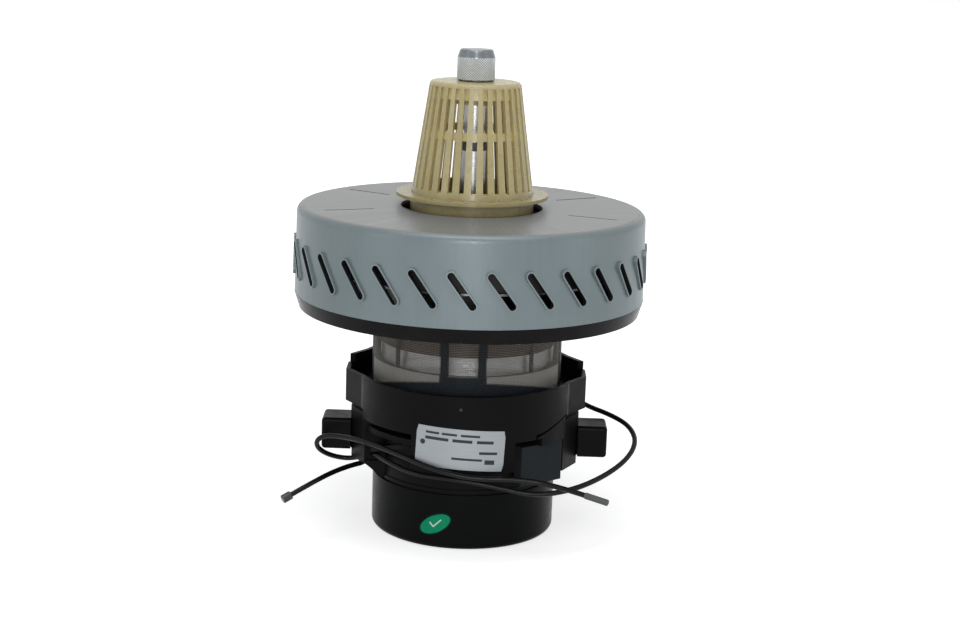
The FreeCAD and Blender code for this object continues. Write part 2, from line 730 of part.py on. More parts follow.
def brush_cap():
    outside = block(CAP_START, CAP_END, -CAP_HALF_Y, CAP_HALF_Y, CAP_LOW, CAP_HIGH)
    outer_edges = [e for e in outside.Edges if e.CenterOfMass.x > CAP_START + SLIP]
    outside = outside.makeFillet(CAP_ROUND, outer_edges)
    half_y = BRUSH_THICK / 2 + FIT + HOLDER_WALL + FIT
    half_z = BRUSH_TALL / 2 + FIT + HOLDER_WALL + FIT
    return outside.cut(block(CAP_START - PAST, HOLDER_END + FIT, -half_y, half_y, BRUSH_Z - half_z, BRUSH_Z + half_z))


# Rotor

def rotor_shaft():
    body = ring(0, SHAFT_R, SHAFT_LOW, Z_SHAFT_TOP)
    return body.makeChamfer(SHAFT_CHAMFER, [e for e in body.Edges if len(e.Vertexes) == 1])


def commutator():
    low = BRUSH_Z - COMMUTATOR_LENGTH / 2
    bars = ring(COMMUTATOR_CORE_R, COMMUTATOR_R, low, low + COMMUTATOR_LENGTH)
    gap = front_bar(BAR_GAP, COMMUTATOR_R - BAR_DEPTH, COMMUTATOR_R + PAST,
                    low - PAST, low + COMMUTATOR_LENGTH + PAST)
    bars = bars.cut(pattern(gap, COMMUTATOR_BARS))
    core_top = low + COMMUTATOR_LENGTH + RISER_HEIGHT
    core = ring(BORE_R, COMMUTATOR_CORE_R + RISER_HEIGHT / 2, Z_LOW_BEARING + BEARING_WIDTH, core_top)
    return joined([bars, core])


def armature_slot(radius, mouth, low, high):
    bulb = Part.makeCylinder(radius, high - low, V(0, -SLOT_CIRCLE_R, low))
    if mouth == 0:
        return bulb
    return bulb.fuse(front_bar(mouth, SLOT_CIRCLE_R, POLE_R, low, high))


def armature_core():
    body = ring(BORE_R, ARMATURE_R, Z_CORE, Z_CORE_TOP)
    return body.cut(pattern(armature_slot(SLOT_R, SLOT_MOUTH, Z_CORE - PAST, Z_CORE_TOP + PAST), ARMATURE_SLOTS))


def armature_winding():
    low, high = Z_CORE - RUN, Z_CORE_TOP + RUN
    bottom = BRUSH_Z + COMMUTATOR_LENGTH / 2 + RISER_HEIGHT + WINDING_LOW_GAP
    top = Z_HIGH_BEARING - HUB_LIP - WINDING_HIGH_GAP
    ends = []
    for start, stop in ((bottom, low), (high, top)):
        ends.append(ring(WINDING_IN_R, WINDING_R, start, stop))
    bars = pattern(armature_slot(SLOT_R - RUN, 0, low - PAST, high + PAST), ARMATURE_SLOTS)
    return joined(ends + bars)


def spacer(wall, low, high):
    return ring(BORE_R, SHAFT_R + wall, low, high)


def nut_on_shaft(low):
    return hexagon(HEX_FLATS, low, low + HEX_HEIGHT).cut(ring(0, BORE_R, low - PAST, low + HEX_HEIGHT + PAST))


# Stator

def stator_core():
    tall = (Z_CORE, Z_CORE_TOP)
    neck = front_bar(2 * NECK_HALF, SHOE_R - PAST, YOKE_R + PAST, *tall)
    neck = neck.cut(ring(0, POLE_R, Z_CORE - PAST, Z_CORE_TOP + PAST))
    pole = joined([sector(POLE_R, SHOE_R, *tall, SHOE_ANGLE), neck])
    body = joined([ring(YOKE_R, CORE_R, *tall), pole, turned(pole, 180)])
    return body.cut(post_circle(BOLT_R + SLIP, Z_CORE - PAST, Z_CORE_TOP + PAST))


def field_coil():
    """One winding round a pole's neck, at the front."""
    half = NECK_HALF + COIL_THICK
    low, high = Z_CORE - COIL_RISE, Z_CORE_TOP + COIL_RISE
    outside = block(-half, half, -YOKE_R, 0, low, high)
    inside = block(-NECK_HALF - RUN, NECK_HALF + RUN, -YOKE_R - PAST, PAST, Z_CORE - RUN, Z_CORE_TOP + RUN)
    space = ring(SHOE_R + RUN, YOKE_R - RUN, low - PAST, high + PAST)
    return outside.cut(inside).common(space)


def through_bolts():
    low = Z_RIM - POST_DEPTH
    shank = Part.makeCylinder(BOLT_R, Z_CORE_TOP + BOLT_HOLD - low, V(0, -BOLT_CIRCLE_R, low))
    head = Part.makeCylinder(BOLT_HEAD_R, BOLT_HEAD, V(0, -BOLT_CIRCLE_R, low - BOLT_HEAD))
    return Part.makeCompound(pattern(shank.fuse(head).removeSplitter(), 4, 45))


# Motor housing: collar with ears, deck and the tongue that carries the plate

def motor_housing():
    inner_r = HOUSING_R - HOUSING_WALL
    outside = joined([ring(0, HOUSING_R, HOUSING_LOW, HOUSING_BACK_TOP)]
                     + ears(HIGH_EAR_X, EAR_ROOT_X, 0, HIGH_EAR_BOTTOM, HOUSING_BACK_TOP))
    inside = [ring(0, inner_r, HOUSING_LOW - PAST, HOUSING_BACK_TOP + PAST),
              block(-HIGH_EAR_X, HIGH_EAR_X, -HOUSING_R, BACK_START_Y, HOUSING_TOP, HOUSING_BACK_TOP)]
    inside += ears(HIGH_EAR_X, EAR_ROOT_X, EAR_WALL, HIGH_EAR_BOTTOM - PAST, HOUSING_BACK_TOP + PAST)
    side_y = EAR_ROOT_Y + PAST
    inside.append(block(-HIGH_EAR_X, HIGH_EAR_X, -side_y, side_y, HOUSING_LOW - PAST, HIGH_EAR_BOTTOM))
    wall = outside.cut(inside)
    deck = ring(CORE_R + SLIP, inner_r + PAST, DECK_TOP - DECK_THICK, DECK_TOP)
    tongue = sector(inner_r, HOUSING_R, TONGUE_LOW, HOUSING_LOW + PAST, TONGUE_ANGLE)
    web = front_bar(WEB_THICK, WEB_REACH, inner_r + PAST, Z_RIM + FIT, DECK_TOP - PAST)
    apron = sector(inner_r, HOUSING_R, APRON_LOW, HOUSING_LOW + PAST, APRON_WIDE)
    body = joined([wall, deck, tongue] + pattern(apron, 2, APRON_ANGLE) + [turned(web, a) for a in WEB_ANGLES])
    foot = APRON_LOW - PAST
    seam = slab([(-SEAM_LEFT, foot), (SEAM_RIGHT, foot), (SEAM_RIGHT, SEAM_HIGH), (-SEAM_LEFT, SEAM_LOW)],
                -HOUSING_R - PAST, -WEB_REACH)
    return body.cut([*pattern(seam, 2, SEAM_ANGLE), grommet_body(REAR_GROMMET, FIT)])


# Screen frame, mesh and drive-end bracket

def screen_frame():
    parts = [ring(FRAME_IN_R, FRAME_OUT_R, DECK_TOP, FRAME_RING_TOP),
             ring(FRAME_IN_R, FRAME_OUT_R, Z_BRACKET - FRAME_CAP, Z_BRACKET)]
    pillar = front_bar(PILLAR_WIDTH, FRAME_IN_R - 2, FRAME_OUT_R + 2, FRAME_RING_TOP - PAST, Z_BRACKET - PAST)
    thin = front_bar(THIN_PILLAR, FRAME_IN_R - 2, FRAME_OUT_R + 2, FRAME_RING_TOP - PAST, Z_BRACKET - PAST)
    band = ring(FRAME_IN_R, FRAME_OUT_R, FRAME_RING_TOP - PAST, Z_BRACKET - PAST)
    for quarter in (0, 90, 180, 270):
        for offset in (PILLAR_SPREAD, -PILLAR_SPREAD):
            parts.append(turned(pillar, PILLAR_TURN + quarter + offset).common(band))
        parts.append(turned(thin, PILLAR_TURN + quarter + 45).common(band))
    return joined(parts)


def mesh_screen():
    return ring(MESH_R - MESH_WALL, MESH_R, DECK_TOP + FIT, Z_BRACKET - FIT)


def drive_end_bracket():
    hub_r = BEARING_R + HUB_WALL
    parts = [ring(SKIRT_R - SKIRT_WALL, SKIRT_R, Z_CORE_TOP, Z_BRACKET),
             ring(HUB_LIP_R, SKIRT_R, Z_BRACKET - BRACKET_PLATE, Z_BRACKET),
             ring(HUB_LIP_R, hub_r, Z_HIGH_BEARING - HUB_LIP, Z_BRACKET)]
    parts += post_circle(BOSS_R, Z_CORE_TOP, Z_BRACKET - PAST)
    body = joined(parts)
    seat = ring(0, BEARING_R + FIT, Z_HIGH_BEARING, Z_BRACKET + PAST)
    holes = post_circle(BOLT_R + SLIP, Z_CORE_TOP - PAST, Z_CORE_TOP + BOLT_HOLD + FIT)
    return body.cut([seat] + holes + screw_circle(SCREW_R + SLIP, Z_BRACKET - BRACKET_PLATE - PAST, Z_BRACKET + PAST))


def screw_circle(radius, low, high):
    one = Part.makeCylinder(radius, high - low, V(0, -SCREW_CIRCLE_R, low))
    return pattern(one, SCREW_COUNT, 360.0 / SCREW_COUNT / 2)


def housing_base():
    plate_top = Z_BRACKET + BASE_PLATE
    body = lathe([(BASE_BORE_R, Z_BRACKET), (REGISTER_R, Z_BRACKET), (REGISTER_R, Z_SEAT), (BASE_LOW_R, Z_SEAT),
                  (BASE_R, Z_BASE), (BASE_R - BASE_RIM, Z_BASE), (BASE_R - BASE_RIM, plate_top),
                  (BASE_BORE_R, plate_top)])
    return body.cut(screw_circle(SCREW_R + SLIP, Z_BRACKET - PAST, plate_top + PAST))


def base_screws():
    top = Z_BRACKET + BASE_PLATE
    shanks = screw_circle(SCREW_R, top - SCREW_LENGTH, top)
    heads = screw_circle(SCREW_HEAD_R, top, top + SCREW_HEAD)
    return Part.makeCompound([s.fuse(h).removeSplitter() for s, h in zip(shanks, heads)])


# Fan housing: a drawn can with raised slanted slots

def slot_outline(width):
    """The slot's outline in x and z, leaning to the right as it goes down."""
    shift = CAN_R * math.tan(math.radians(SLOT_SLANT / 2))
    return obround(-shift, SLOT_TOP_Z, shift, SLOT_LOW_Z, width)


def fan_housing():
    inside_r = CAN_R - CAN_WALL
    corner = CAN_ROUND - CAN_WALL
    body = lathe([
        (CAN_HOLE_R, Z_CAN), (CAN_R - CAN_ROUND, Z_CAN),
        rounded(CAN_R - CAN_ROUND, Z_CAN - CAN_ROUND, CAN_ROUND, 90, 0), (CAN_LOW_R, Z_BASE),
        (CAN_LOW_R - CAN_WALL, Z_BASE), (inside_r, Z_CAN_INSIDE - corner),
        (inside_r - corner, Z_CAN_INSIDE), (CAN_HOLE_R, Z_CAN_INSIDE)])
    lip = slab(slot_outline(SLOT_WIDTH + 2 * LIP_WIDTH), LIP_SINK - CAN_R, -CAN_R - LIP_PROUD)
    body = joined([body] + pattern(lip, SLOT_COUNT, SLOT_TURN))
    slot = slab(slot_outline(SLOT_WIDTH), -CAN_R - LIP_PROUD - PAST, SLOT_REACH - CAN_R)
    groove = front_bar(GROOVE_WIDTH, GROOVE_IN_R, GROOVE_IN_R + GROOVE_LENGTH, Z_CAN - GROOVE_DEPTH, Z_CAN + PAST)
    grooves = [turned(groove, angle) for angle in GROOVE_ANGLES]
    return body.cut(pattern(slot, SLOT_COUNT, SLOT_TURN) + grooves)


# Fans between the can and the base

def fan_shell():
    inside_r, inside_top = SHELL_R - SHELL_WALL, SHELL_TOP - SHELL_WALL
    return lathe([(CAN_HOLE_R, SHELL_TOP), (SHELL_R, SHELL_TOP), (SHELL_R, SHELL_LOW), (inside_r, SHELL_LOW),
                  (inside_r, inside_top), (CAN_HOLE_R, inside_top)])


def impeller_plate(low):
    return ring(BORE_R, IMPELLER_R, low, low + IMPELLER_DISC)


def impeller_cover(low):
    return ring(IMPELLER_EYE_R, IMPELLER_R, low + IMPELLER_HEIGHT - IMPELLER_DISC, low + IMPELLER_HEIGHT)


def impeller_blades(low):
    """The blades are riveted sheet, each a piece of its own between the plate and the cover."""
    blade = curved_blade(IMPELLER_EYE_R - BLADE_INSIDE, IMPELLER_R - BLADE_EDGE, IMPELLER_LAG, IMPELLER_BLADE,
                         low + IMPELLER_DISC, low + IMPELLER_HEIGHT - IMPELLER_DISC)
    return Part.makeCompound(pattern(blade, IMPELLER_BLADES))


def clamp_spacer(low, high):
    """A spacer with a wide foot that holds the impeller below it."""
    return joined([spacer(SPACER_WALL, low, high), ring(BORE_R, IMPELLER_HUB_R, low, low + IMPELLER_HUB)])


def diffuser():
    floor = Z_DIFFUSER + DIFFUSER_PLATE
    roof = floor + DIFFUSER_VANE_HEIGHT
    hole_r = SHAFT_R + SPACER_WALL + DIFFUSER_HOLE
    parts = [ring(DIFFUSER_EYE_R, SHELL_R - SHELL_WALL - DIFFUSER_LIFT, Z_DIFFUSER, floor),
             ring(hole_r, DIFFUSER_R, roof, roof + DIFFUSER_PLATE)]
    vane = curved_blade(DIFFUSER_EYE_R + BLADE_EDGE, DIFFUSER_R - BLADE_EDGE, -IMPELLER_LAG, DIFFUSER_PLATE,
                        floor - DIFFUSER_PLATE / 2, roof + DIFFUSER_PLATE / 2)
    return joined(parts + pattern(vane, DIFFUSER_VANES))


# Separator: a ribbed cage on a flange, with a skirt below, a boss inside and a recess for the washer

def cone_r(z):
    """The cone's outer radius at a height."""
    share = (z - Z_FLANGE) / CONE_HEIGHT
    return CONE_LOW_R + (CONE_TOP_R - CONE_LOW_R) * share


def rib_gap():
    """The space between two ribs: a groove outside, and two windows through the wall."""
    low, high = Z_FLANGE + FLANGE_THICK + RIB_LOW, Z_CONE - RIB_HIGH
    far = FLANGE_R + PAST

    def floor(z):
        return cone_r(z) - RIB_PROUD

    def through(z):
        return cone_r(z) - CONE_WALL - WINDOW_DEPTH

    upper_top = Z_CONE - WINDOW_CAP
    upper_foot = upper_top - HIGH_WINDOW
    side = [(far, low), (far, high), (floor(high), high)]
    for bottom, top in ((upper_foot, upper_top), (Z_FLANGE + WINDOW_FOOT, upper_foot - BAND_HEIGHT)):
        side += [(floor(top), top), (through(top), top), (through(bottom), bottom), (floor(bottom), bottom)]
    side.append((floor(low), low))
    face = Part.Face(loop(side, lambda r, z: V(-RIB_GAP / 2, -r, z)))
    return face.extrude(V(RIB_GAP, 0, 0))


def separator():
    bottom, inside_top = Z_FLANGE - SEP_SKIRT_DEPTH, Z_CONE - CONE_CAP
    slope_r = cone_r(Z_CONE - CONE_ROUND)
    shell = lathe([
        (SEP_SKIRT_R - SEP_SKIRT_WALL, bottom), (SEP_SKIRT_R, bottom), (SEP_SKIRT_R, Z_FLANGE), (FLANGE_R, Z_FLANGE),
        (FLANGE_R, Z_FLANGE + FLANGE_THICK), (cone_r(Z_FLANGE + FLANGE_THICK), Z_FLANGE + FLANGE_THICK),
        (slope_r, Z_CONE - CONE_ROUND), rounded(slope_r - CONE_ROUND, Z_CONE - CONE_ROUND, CONE_ROUND, 0, 90),
        (WASHER_R + RUN, Z_CONE), (WASHER_R + RUN, Z_WASHER - RUN), (BORE_R, Z_WASHER - RUN),
        (BORE_R, inside_top - SEP_BOSS_DEPTH), (BOSS_OUT_R, inside_top - SEP_BOSS_DEPTH),
        (BOSS_OUT_R, inside_top), (cone_r(inside_top) - CONE_WALL, inside_top),
        (SEP_SKIRT_R - SEP_SKIRT_WALL, Z_FLANGE)])
    return shell.cut(pattern(rib_gap(), RIB_COUNT, RIB_TURN))


def separator_washer():
    return ring(SHAFT_R + SLIP, WASHER_R, Z_WASHER, Z_WASHER + WASHER_THICK)


def separator_nut():
    top, edge_r = Z_NUT + NUT_HEIGHT, NUT_R - NUT_BEVEL
    body = lathe([(0, Z_NUT), (NUT_R - NUT_SHOULDER, Z_NUT), (NUT_R, Z_NUT + NUT_SHOULDER), (NUT_R, top - NUT_BAND),
                  (edge_r, top - NUT_ROUND), rounded(edge_r - NUT_ROUND, top - NUT_ROUND, NUT_ROUND, 0, 90),
                  (0, top)])
    return body.cut(ring(0, SHAFT_R + SLIP, Z_NUT - PAST, Z_SHAFT_TOP + NUT_BORE_SPARE))


# Leads: each starts at its grommet's outer face; the points are the corners of its route

REAR_GROMMET = (V(38.0, 50.5, 63.5), V(1, 0, 0), REAR_GROMMET_LENGTH)
LEFT_GROMMET = (V(-50.3, 19.0, 40.6), V(0, -1, 0), LEFT_GROMMET_LENGTH)

LONG_ROUTE = [
    (38.0, 50.5, 63.5), (46.5, 50.5, 63.5), (56.5, 44.5, 63.0), (62.8, 33.0, 62.6), (69.0, 20.5, 62.2),
    (81.0, 11.0, 60.4), (90.6, -1.5, 58.0), (93.6, -16.0, 53.4), (88.0, -30.5, 47.8), (75.5, -44.0, 42.2),
    (58.5, -56.2, 37.8), (38.0, -58.6, 34.4), (15.5, -57.0, 38.6), (-6.0, -56.6, 41.6), (-25.0, -50.8, 41.4),
    (-39.5, -37.8, 43.6), (-47.4, -26.2, 44.6), (-53.0, -15.0, 40.8), (-57.2, -7.6, 36.8), (-64.0, -3.4, 34.4),
    (-72.6, -6.4, 36.6), (-79.0, -12.0, 41.6), (-80.4, -16.4, 47.4), (-75.8, -19.4, 52.0), (-65.6, -24.2, 53.2),
    (-50.5, -37.0, 54.2), (-33.5, -52.2, 52.6), (-15.0, -61.4, 47.8), (5.5, -63.4, 44.0), (27.5, -62.6, 44.6),
    (47.5, -63.2, 42.3), (63.6, -72.3, 40.2)]

SHORT_ROUTE = [
    (-50.3, 19.0, 40.6), (-50.3, 11.5, 40.6), (-51.6, 1.5, 37.8), (-54.2, -9.0, 34.2), (-59.4, -18.8, 35.8),
    (-68.0, -28.8, 35.2), (-76.7, -45.9, 35.1), (-89.5, -53.5, 28.9)]


def grommet_body(grommet, clearance=0):
    """A round plug that ends where its lead begins. A clearance makes the hole for it."""
    outer_face, direction, length = grommet
    past = PAST if clearance else 0.0
    start = outer_face - direction * (length + past)
    return Part.makeCylinder(GROMMET_R + clearance, length + 2 * past, start, direction)


def lead(name, route):
    """A round lead along straight runs joined by tangent arcs."""
    points = [V(*point) for point in route]
    edges, radii, here = [], [], points[0]
    for before, corner, after in zip(points, points[1:], points[2:]):
        back, ahead = before - corner, after - corner
        half_turn = (math.pi - back.getAngle(ahead)) / 2
        setback = CORNER_SHARE * min(back.Length, ahead.Length)
        radius = setback / math.tan(half_turn)
        radii.append(radius)
        back.normalize()
        ahead.normalize()
        inward = (back + ahead).normalize()
        start, end = corner + back * setback, corner + ahead * setback
        middle = corner + inward * (radius / math.cos(half_turn) - radius)
        edges += [Part.LineSegment(here, start).toShape(), Part.Arc(start, middle, end).toShape()]
        here = end
    edges.append(Part.LineSegment(here, points[-1]).toShape())
    path = Part.Wire(edges)
    section = Part.Wire(Part.makeCircle(LEAD_R, points[0], points[1] - points[0]))
    tube = path.makePipeShell([section], True, False)
    wanted = math.pi * LEAD_R ** 2 * path.Length
    print(name, "length", round(path.Length, 1), "volume share", round(tube.Volume / wanted, 4))
    print(name, "radii", [round(r, 1) for r in radii])
    return tube


def lead_end(route, radius, length):
    """A piece on the lead's far end, in line with its last run."""
    last, before = V(*route[-1]), V(*route[-2])
    body = Part.makeCylinder(radius, length, last, last - before)
    rims = [e for e in body.Edges if len(e.Vertexes) == 1]
    return body.makeChamfer(END_CHAMFER, rims)


# Write every piece

save("bottom_cover", bottom_cover())
save("cooling_fan", cooling_fan())
save("fan_nut", fan_nut())
save("fan_spacer", fan_spacer())
save("lower_bearing_outer", bearing_outer(Z_LOW_BEARING))
save("lower_bearing_inner", bearing_inner(Z_LOW_BEARING))
save("brush_frame", brush_frame())
save("terminal_cover", terminal_cover())
for side, angle in (("right", 0), ("left", 180)):
    save("brush_" + side, turned(brush(), angle))
    save("brush_spring_" + side, turned(brush_spring(), angle))
    save("brush_holder_" + side, turned(brush_holder(), angle))
    save("brush_cap_" + side, turned(brush_cap(), angle))
save("rotor_shaft", rotor_shaft())
save("commutator", commutator())
save("armature_core", armature_core())
save("armature_winding", armature_winding())
save("stator_core", stator_core())
save("field_coil_front", field_coil())
save("field_coil_back", turned(field_coil(), 180))
save("through_bolts", through_bolts())
save("motor_housing", motor_housing())
save("screen_frame", screen_frame())
save("mesh_screen", mesh_screen())
save("drive_end_bracket", drive_end_bracket())
save("upper_bearing_outer", bearing_outer(Z_HIGH_BEARING))
save("upper_bearing_inner", bearing_inner(Z_HIGH_BEARING))
save("housing_base", housing_base())
save("base_screws", base_screws())
save("fan_housing", fan_housing())
save("fan_shell", fan_shell())
save("diffuser", diffuser())
for name, low in (("lower_impeller", Z_LOW_IMPELLER), ("upper_impeller", Z_HIGH_IMPELLER)):
    save(name + "_plate", impeller_plate(low))
    save(name + "_blades", impeller_blades(low))
    save(name + "_cover", impeller_cover(low))
save("lower_spacer", spacer(SPACER_WALL, Z_HIGH_BEARING + BEARING_WIDTH, Z_LOW_IMPELLER))
save("impeller_spacer", clamp_spacer(Z_LOW_IMPELLER + IMPELLER_DISC, Z_HIGH_IMPELLER))
save("separator_spacer", clamp_spacer(Z_HIGH_IMPELLER + IMPELLER_DISC, STACK_NUT_Z))
save("stack_nut", nut_on_shaft(STACK_NUT_Z))
save("separator_sleeve", spacer(SLEEVE_WALL, STACK_NUT_Z + HEX_HEIGHT, Z_CONE - CONE_CAP - SEP_BOSS_DEPTH))
save("separator", separator())
save("separator_washer", separator_washer())
save("separator_nut", separator_nut())
save("rear_grommet", grommet_body(REAR_GROMMET))
save("left_grommet", grommet_body(LEFT_GROMMET))
save("long_lead", lead("long_lead", LONG_ROUTE))
save("long_lead_sleeve", lead_end(LONG_ROUTE, SLEEVE_R, SLEEVE_LENGTH))
save("short_lead", lead("short_lead", SHORT_ROUTE))
save("short_lead_tip", lead_end(SHORT_ROUTE, TIP_R, TIP_LENGTH))
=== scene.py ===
# %% [markdown]
# A vacuum motor stands on its cooling-fan cup. Above the cup sit the brush frame, a woven screen,
# a slotted fan housing and a cream separator cone held by a knurled nut.
# The solids come from a CAD package as a fixed frame, already in place and in metres.
# This lesson gives them a camera, light and finishes, and adds what is too fine for the solids:
# smooth leads, the screen's weave, the springs' turns, the knurl, the plate, the oval and a rubber seal.

# %% Load the solids
import math

import bmesh
import bpy
from mathutils import Matrix, Vector


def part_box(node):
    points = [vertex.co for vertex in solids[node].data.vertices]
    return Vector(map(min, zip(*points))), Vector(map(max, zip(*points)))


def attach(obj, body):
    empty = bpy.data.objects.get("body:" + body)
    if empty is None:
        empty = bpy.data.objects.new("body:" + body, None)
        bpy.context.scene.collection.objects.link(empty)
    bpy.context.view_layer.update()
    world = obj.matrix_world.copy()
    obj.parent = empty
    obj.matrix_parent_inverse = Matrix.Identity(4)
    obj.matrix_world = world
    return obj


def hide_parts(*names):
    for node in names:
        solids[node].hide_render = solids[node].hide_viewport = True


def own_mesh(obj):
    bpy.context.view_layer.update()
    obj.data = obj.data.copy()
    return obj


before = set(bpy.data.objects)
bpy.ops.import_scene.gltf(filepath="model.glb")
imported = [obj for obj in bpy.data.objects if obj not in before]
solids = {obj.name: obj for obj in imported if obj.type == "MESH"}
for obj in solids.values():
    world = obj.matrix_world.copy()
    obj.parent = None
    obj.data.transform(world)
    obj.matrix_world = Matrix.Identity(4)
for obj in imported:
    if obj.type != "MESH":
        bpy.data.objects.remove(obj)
scene = bpy.context.scene
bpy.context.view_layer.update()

# %% [markdown]
# The camera repeats the one that took the photograph. Its place, tilt and focal length were worked out
# from the round outlines of the cup, the housing and the cone, which show as ellipses in the picture.
# A matrix is used here and not Euler angles, because three plain directions are easy to check.

# %% Camera
PICTURE_WIDTH = 960
FOCAL_PIXELS = 1788.42
PITCH, ROLL, YAW = 0.2202, -0.0339, -0.0021
CAMERA_PLACE = Vector((0.0084646, -0.948148, 0.326836))

level_ahead = Vector((math.sin(YAW), math.cos(YAW), 0))
level_right = Vector((math.cos(YAW), -math.sin(YAW), 0))
straight_up = Vector((0, 0, 1))
ahead = level_ahead * math.cos(PITCH) - straight_up * math.sin(PITCH)
over = level_ahead * math.sin(PITCH) + straight_up * math.cos(PITCH)
right = level_right * math.cos(ROLL) - over * math.sin(ROLL)
top = level_right * math.sin(ROLL) + over * math.cos(ROLL)

camera_data = bpy.data.cameras.new("photo_camera")
camera_data.sensor_width = 36.0
camera_data.lens = FOCAL_PIXELS / PICTURE_WIDTH * camera_data.sensor_width
camera_data.clip_start = 0.05
camera_data.clip_end = 30.0
camera = bpy.data.objects.new("photo_camera", camera_data)
camera_axes = Matrix((right, top, -ahead)).transposed().to_4x4()
camera.matrix_world = Matrix.Translation(CAMERA_PLACE) @ camera_axes
scene.collection.objects.link(camera)
scene.camera = camera
print("camera lens", round(camera_data.lens, 2))

# %% [markdown]
# The two leads are limp rubber-covered wires. A wire like this has one smooth centre line, so each is a
# curve object with a round bevel. A NURBS spline passes near its control points and never kinks,
# which a chain of straight runs would. Its order and its end mode are set after its points exist. Each point
# carries the wire's radius and the bevel's depth is 1, because Blender adds the points' radius to a curve's
# box: with the radius left at 1, a small wire would have a box of two metres.

# %% Leads
LEAD_RADIUS = 0.0014

LONG_LEAD = [
    (38.0, 50.5, 63.5), (46.5, 50.5, 63.5), (56.5, 44.5, 63.0), (62.8, 33.0, 62.6), (69.0, 20.5, 62.2),
    (81.0, 11.0, 60.4), (90.6, -1.5, 58.0), (93.6, -16.0, 53.4), (88.0, -30.5, 47.8), (75.5, -44.0, 42.2),
    (58.5, -56.2, 37.8), (38.0, -58.6, 34.4), (15.5, -57.0, 38.6), (-6.0, -56.6, 41.6), (-25.0, -50.8, 41.4),
    (-39.5, -37.8, 43.6), (-47.4, -26.2, 44.6), (-53.0, -15.0, 40.8), (-57.2, -7.6, 36.8),
    (-64.0, -3.4, 34.4), (-72.6, -6.4, 36.6), (-79.0, -12.0, 41.6), (-80.4, -16.4, 47.4),
    (-75.8, -19.4, 52.0), (-65.6, -24.2, 53.2), (-50.5, -37.0, 54.2), (-33.5, -52.2, 52.6),
    (-15.0, -61.4, 47.8), (5.5, -63.4, 44.0), (27.5, -62.6, 44.6), (47.5, -63.2, 42.3),
    (63.6, -72.3, 40.2)]
SHORT_LEAD = [
    (-50.3, 19.0, 40.6), (-50.3, 11.5, 40.6), (-51.6, 1.5, 37.8), (-54.2, -9.0, 34.2), (-59.4, -18.8, 35.8),
    (-68.0, -28.8, 35.2), (-76.7, -45.9, 35.1), (-89.5, -53.5, 28.9)]


def smooth_lead(name, corners, radius):
    """A round wire whose smooth line follows the route's corners, given in millimetres."""
    data = bpy.data.curves.new(name, "CURVE")
    data.dimensions = "3D"
    data.bevel_depth = 1.0
    data.bevel_resolution = 3
    data.resolution_u = 8
    data.use_fill_caps = True
    spline = data.splines.new("NURBS")
    spline.points.add(len(corners) - 1)
    for point, (x, y, z) in zip(spline.points, corners):
        point.co = (x / 1000, y / 1000, z / 1000, 1)
        point.radius = radius
    spline.order_u = 3
    spline.use_endpoint_u = True
    wire = bpy.data.objects.new(name, data)
    scene.collection.objects.link(wire)
    return wire


long_lead = smooth_lead("long_lead_wire", LONG_LEAD, LEAD_RADIUS)
short_lead = smooth_lead("short_lead_wire", SHORT_LEAD, LEAD_RADIUS)
for wire, node in ((long_lead, "long_lead"), (short_lead, "short_lead")):
    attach(wire, "motor_frame")
    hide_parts(node)
print("leads", len(LONG_LEAD), "and", len(SHORT_LEAD), "points")

# %% [markdown]
# The motor stands in a white surround, as in a photographer's tent. It looks white to the camera and in
# reflections, while the light that falls from it on the motor stays weak, so that the lamps can shape the
# form. The Light Path node tells the two apart, and a mix of two backgrounds follows it.

# %% White surround
SURROUND_LIGHT = 0.3


def seen_directly(nodes, links):
    """A value that is 1 for what the camera sees straight, in a mirror or through glass."""
    path = nodes.new("ShaderNodeLightPath")
    either = nodes.new("ShaderNodeMath")
    either.operation = "MAXIMUM"
    links.new(path.outputs["Is Camera Ray"], either.inputs[0])
    links.new(path.outputs["Is Glossy Ray"], either.inputs[1])
    any_of_them = nodes.new("ShaderNodeMath")
    any_of_them.operation = "MAXIMUM"
    links.new(either.outputs[0], any_of_them.inputs[0])
    links.new(path.outputs["Is Transmission Ray"], any_of_them.inputs[1])
    return any_of_them.outputs[0]


def white_surround():
    world = bpy.data.worlds.new("white_tent")
    world.use_nodes = True
    nodes, links = world.node_tree.nodes, world.node_tree.links
    nodes.clear()
    seen = nodes.new("ShaderNodeBackground")
    seen.inputs["Color"].default_value = (1, 1, 1, 1)
    seen.inputs["Strength"].default_value = 1.0
    felt = nodes.new("ShaderNodeBackground")
    felt.inputs["Color"].default_value = (0.97, 0.985, 1.0, 1)
    felt.inputs["Strength"].default_value = SURROUND_LIGHT
    mix = nodes.new("ShaderNodeMixShader")
    out = nodes.new("ShaderNodeOutputWorld")
    links.new(seen_directly(nodes, links), mix.inputs[0])
    links.new(felt.outputs[0], mix.inputs[1])
    links.new(seen.outputs[0], mix.inputs[2])
    links.new(mix.outputs[0], out.inputs["Surface"])
    scene.world = world


white_surround()
print("surround light", SURROUND_LIGHT)

# %% [markdown]
# The floor is pale and matt, so it takes the motor's soft shadow. A real backdrop fades to pure white away
# from the object. Here a glow does that: it is weak near the motor and full a metre away, and it only shows
# to the camera and in reflections, so it doesn't light the motor from below.

# %% Floor
FLOOR_LIFT = 0.62
FADE_START, FADE_END = 0.15, 1.2


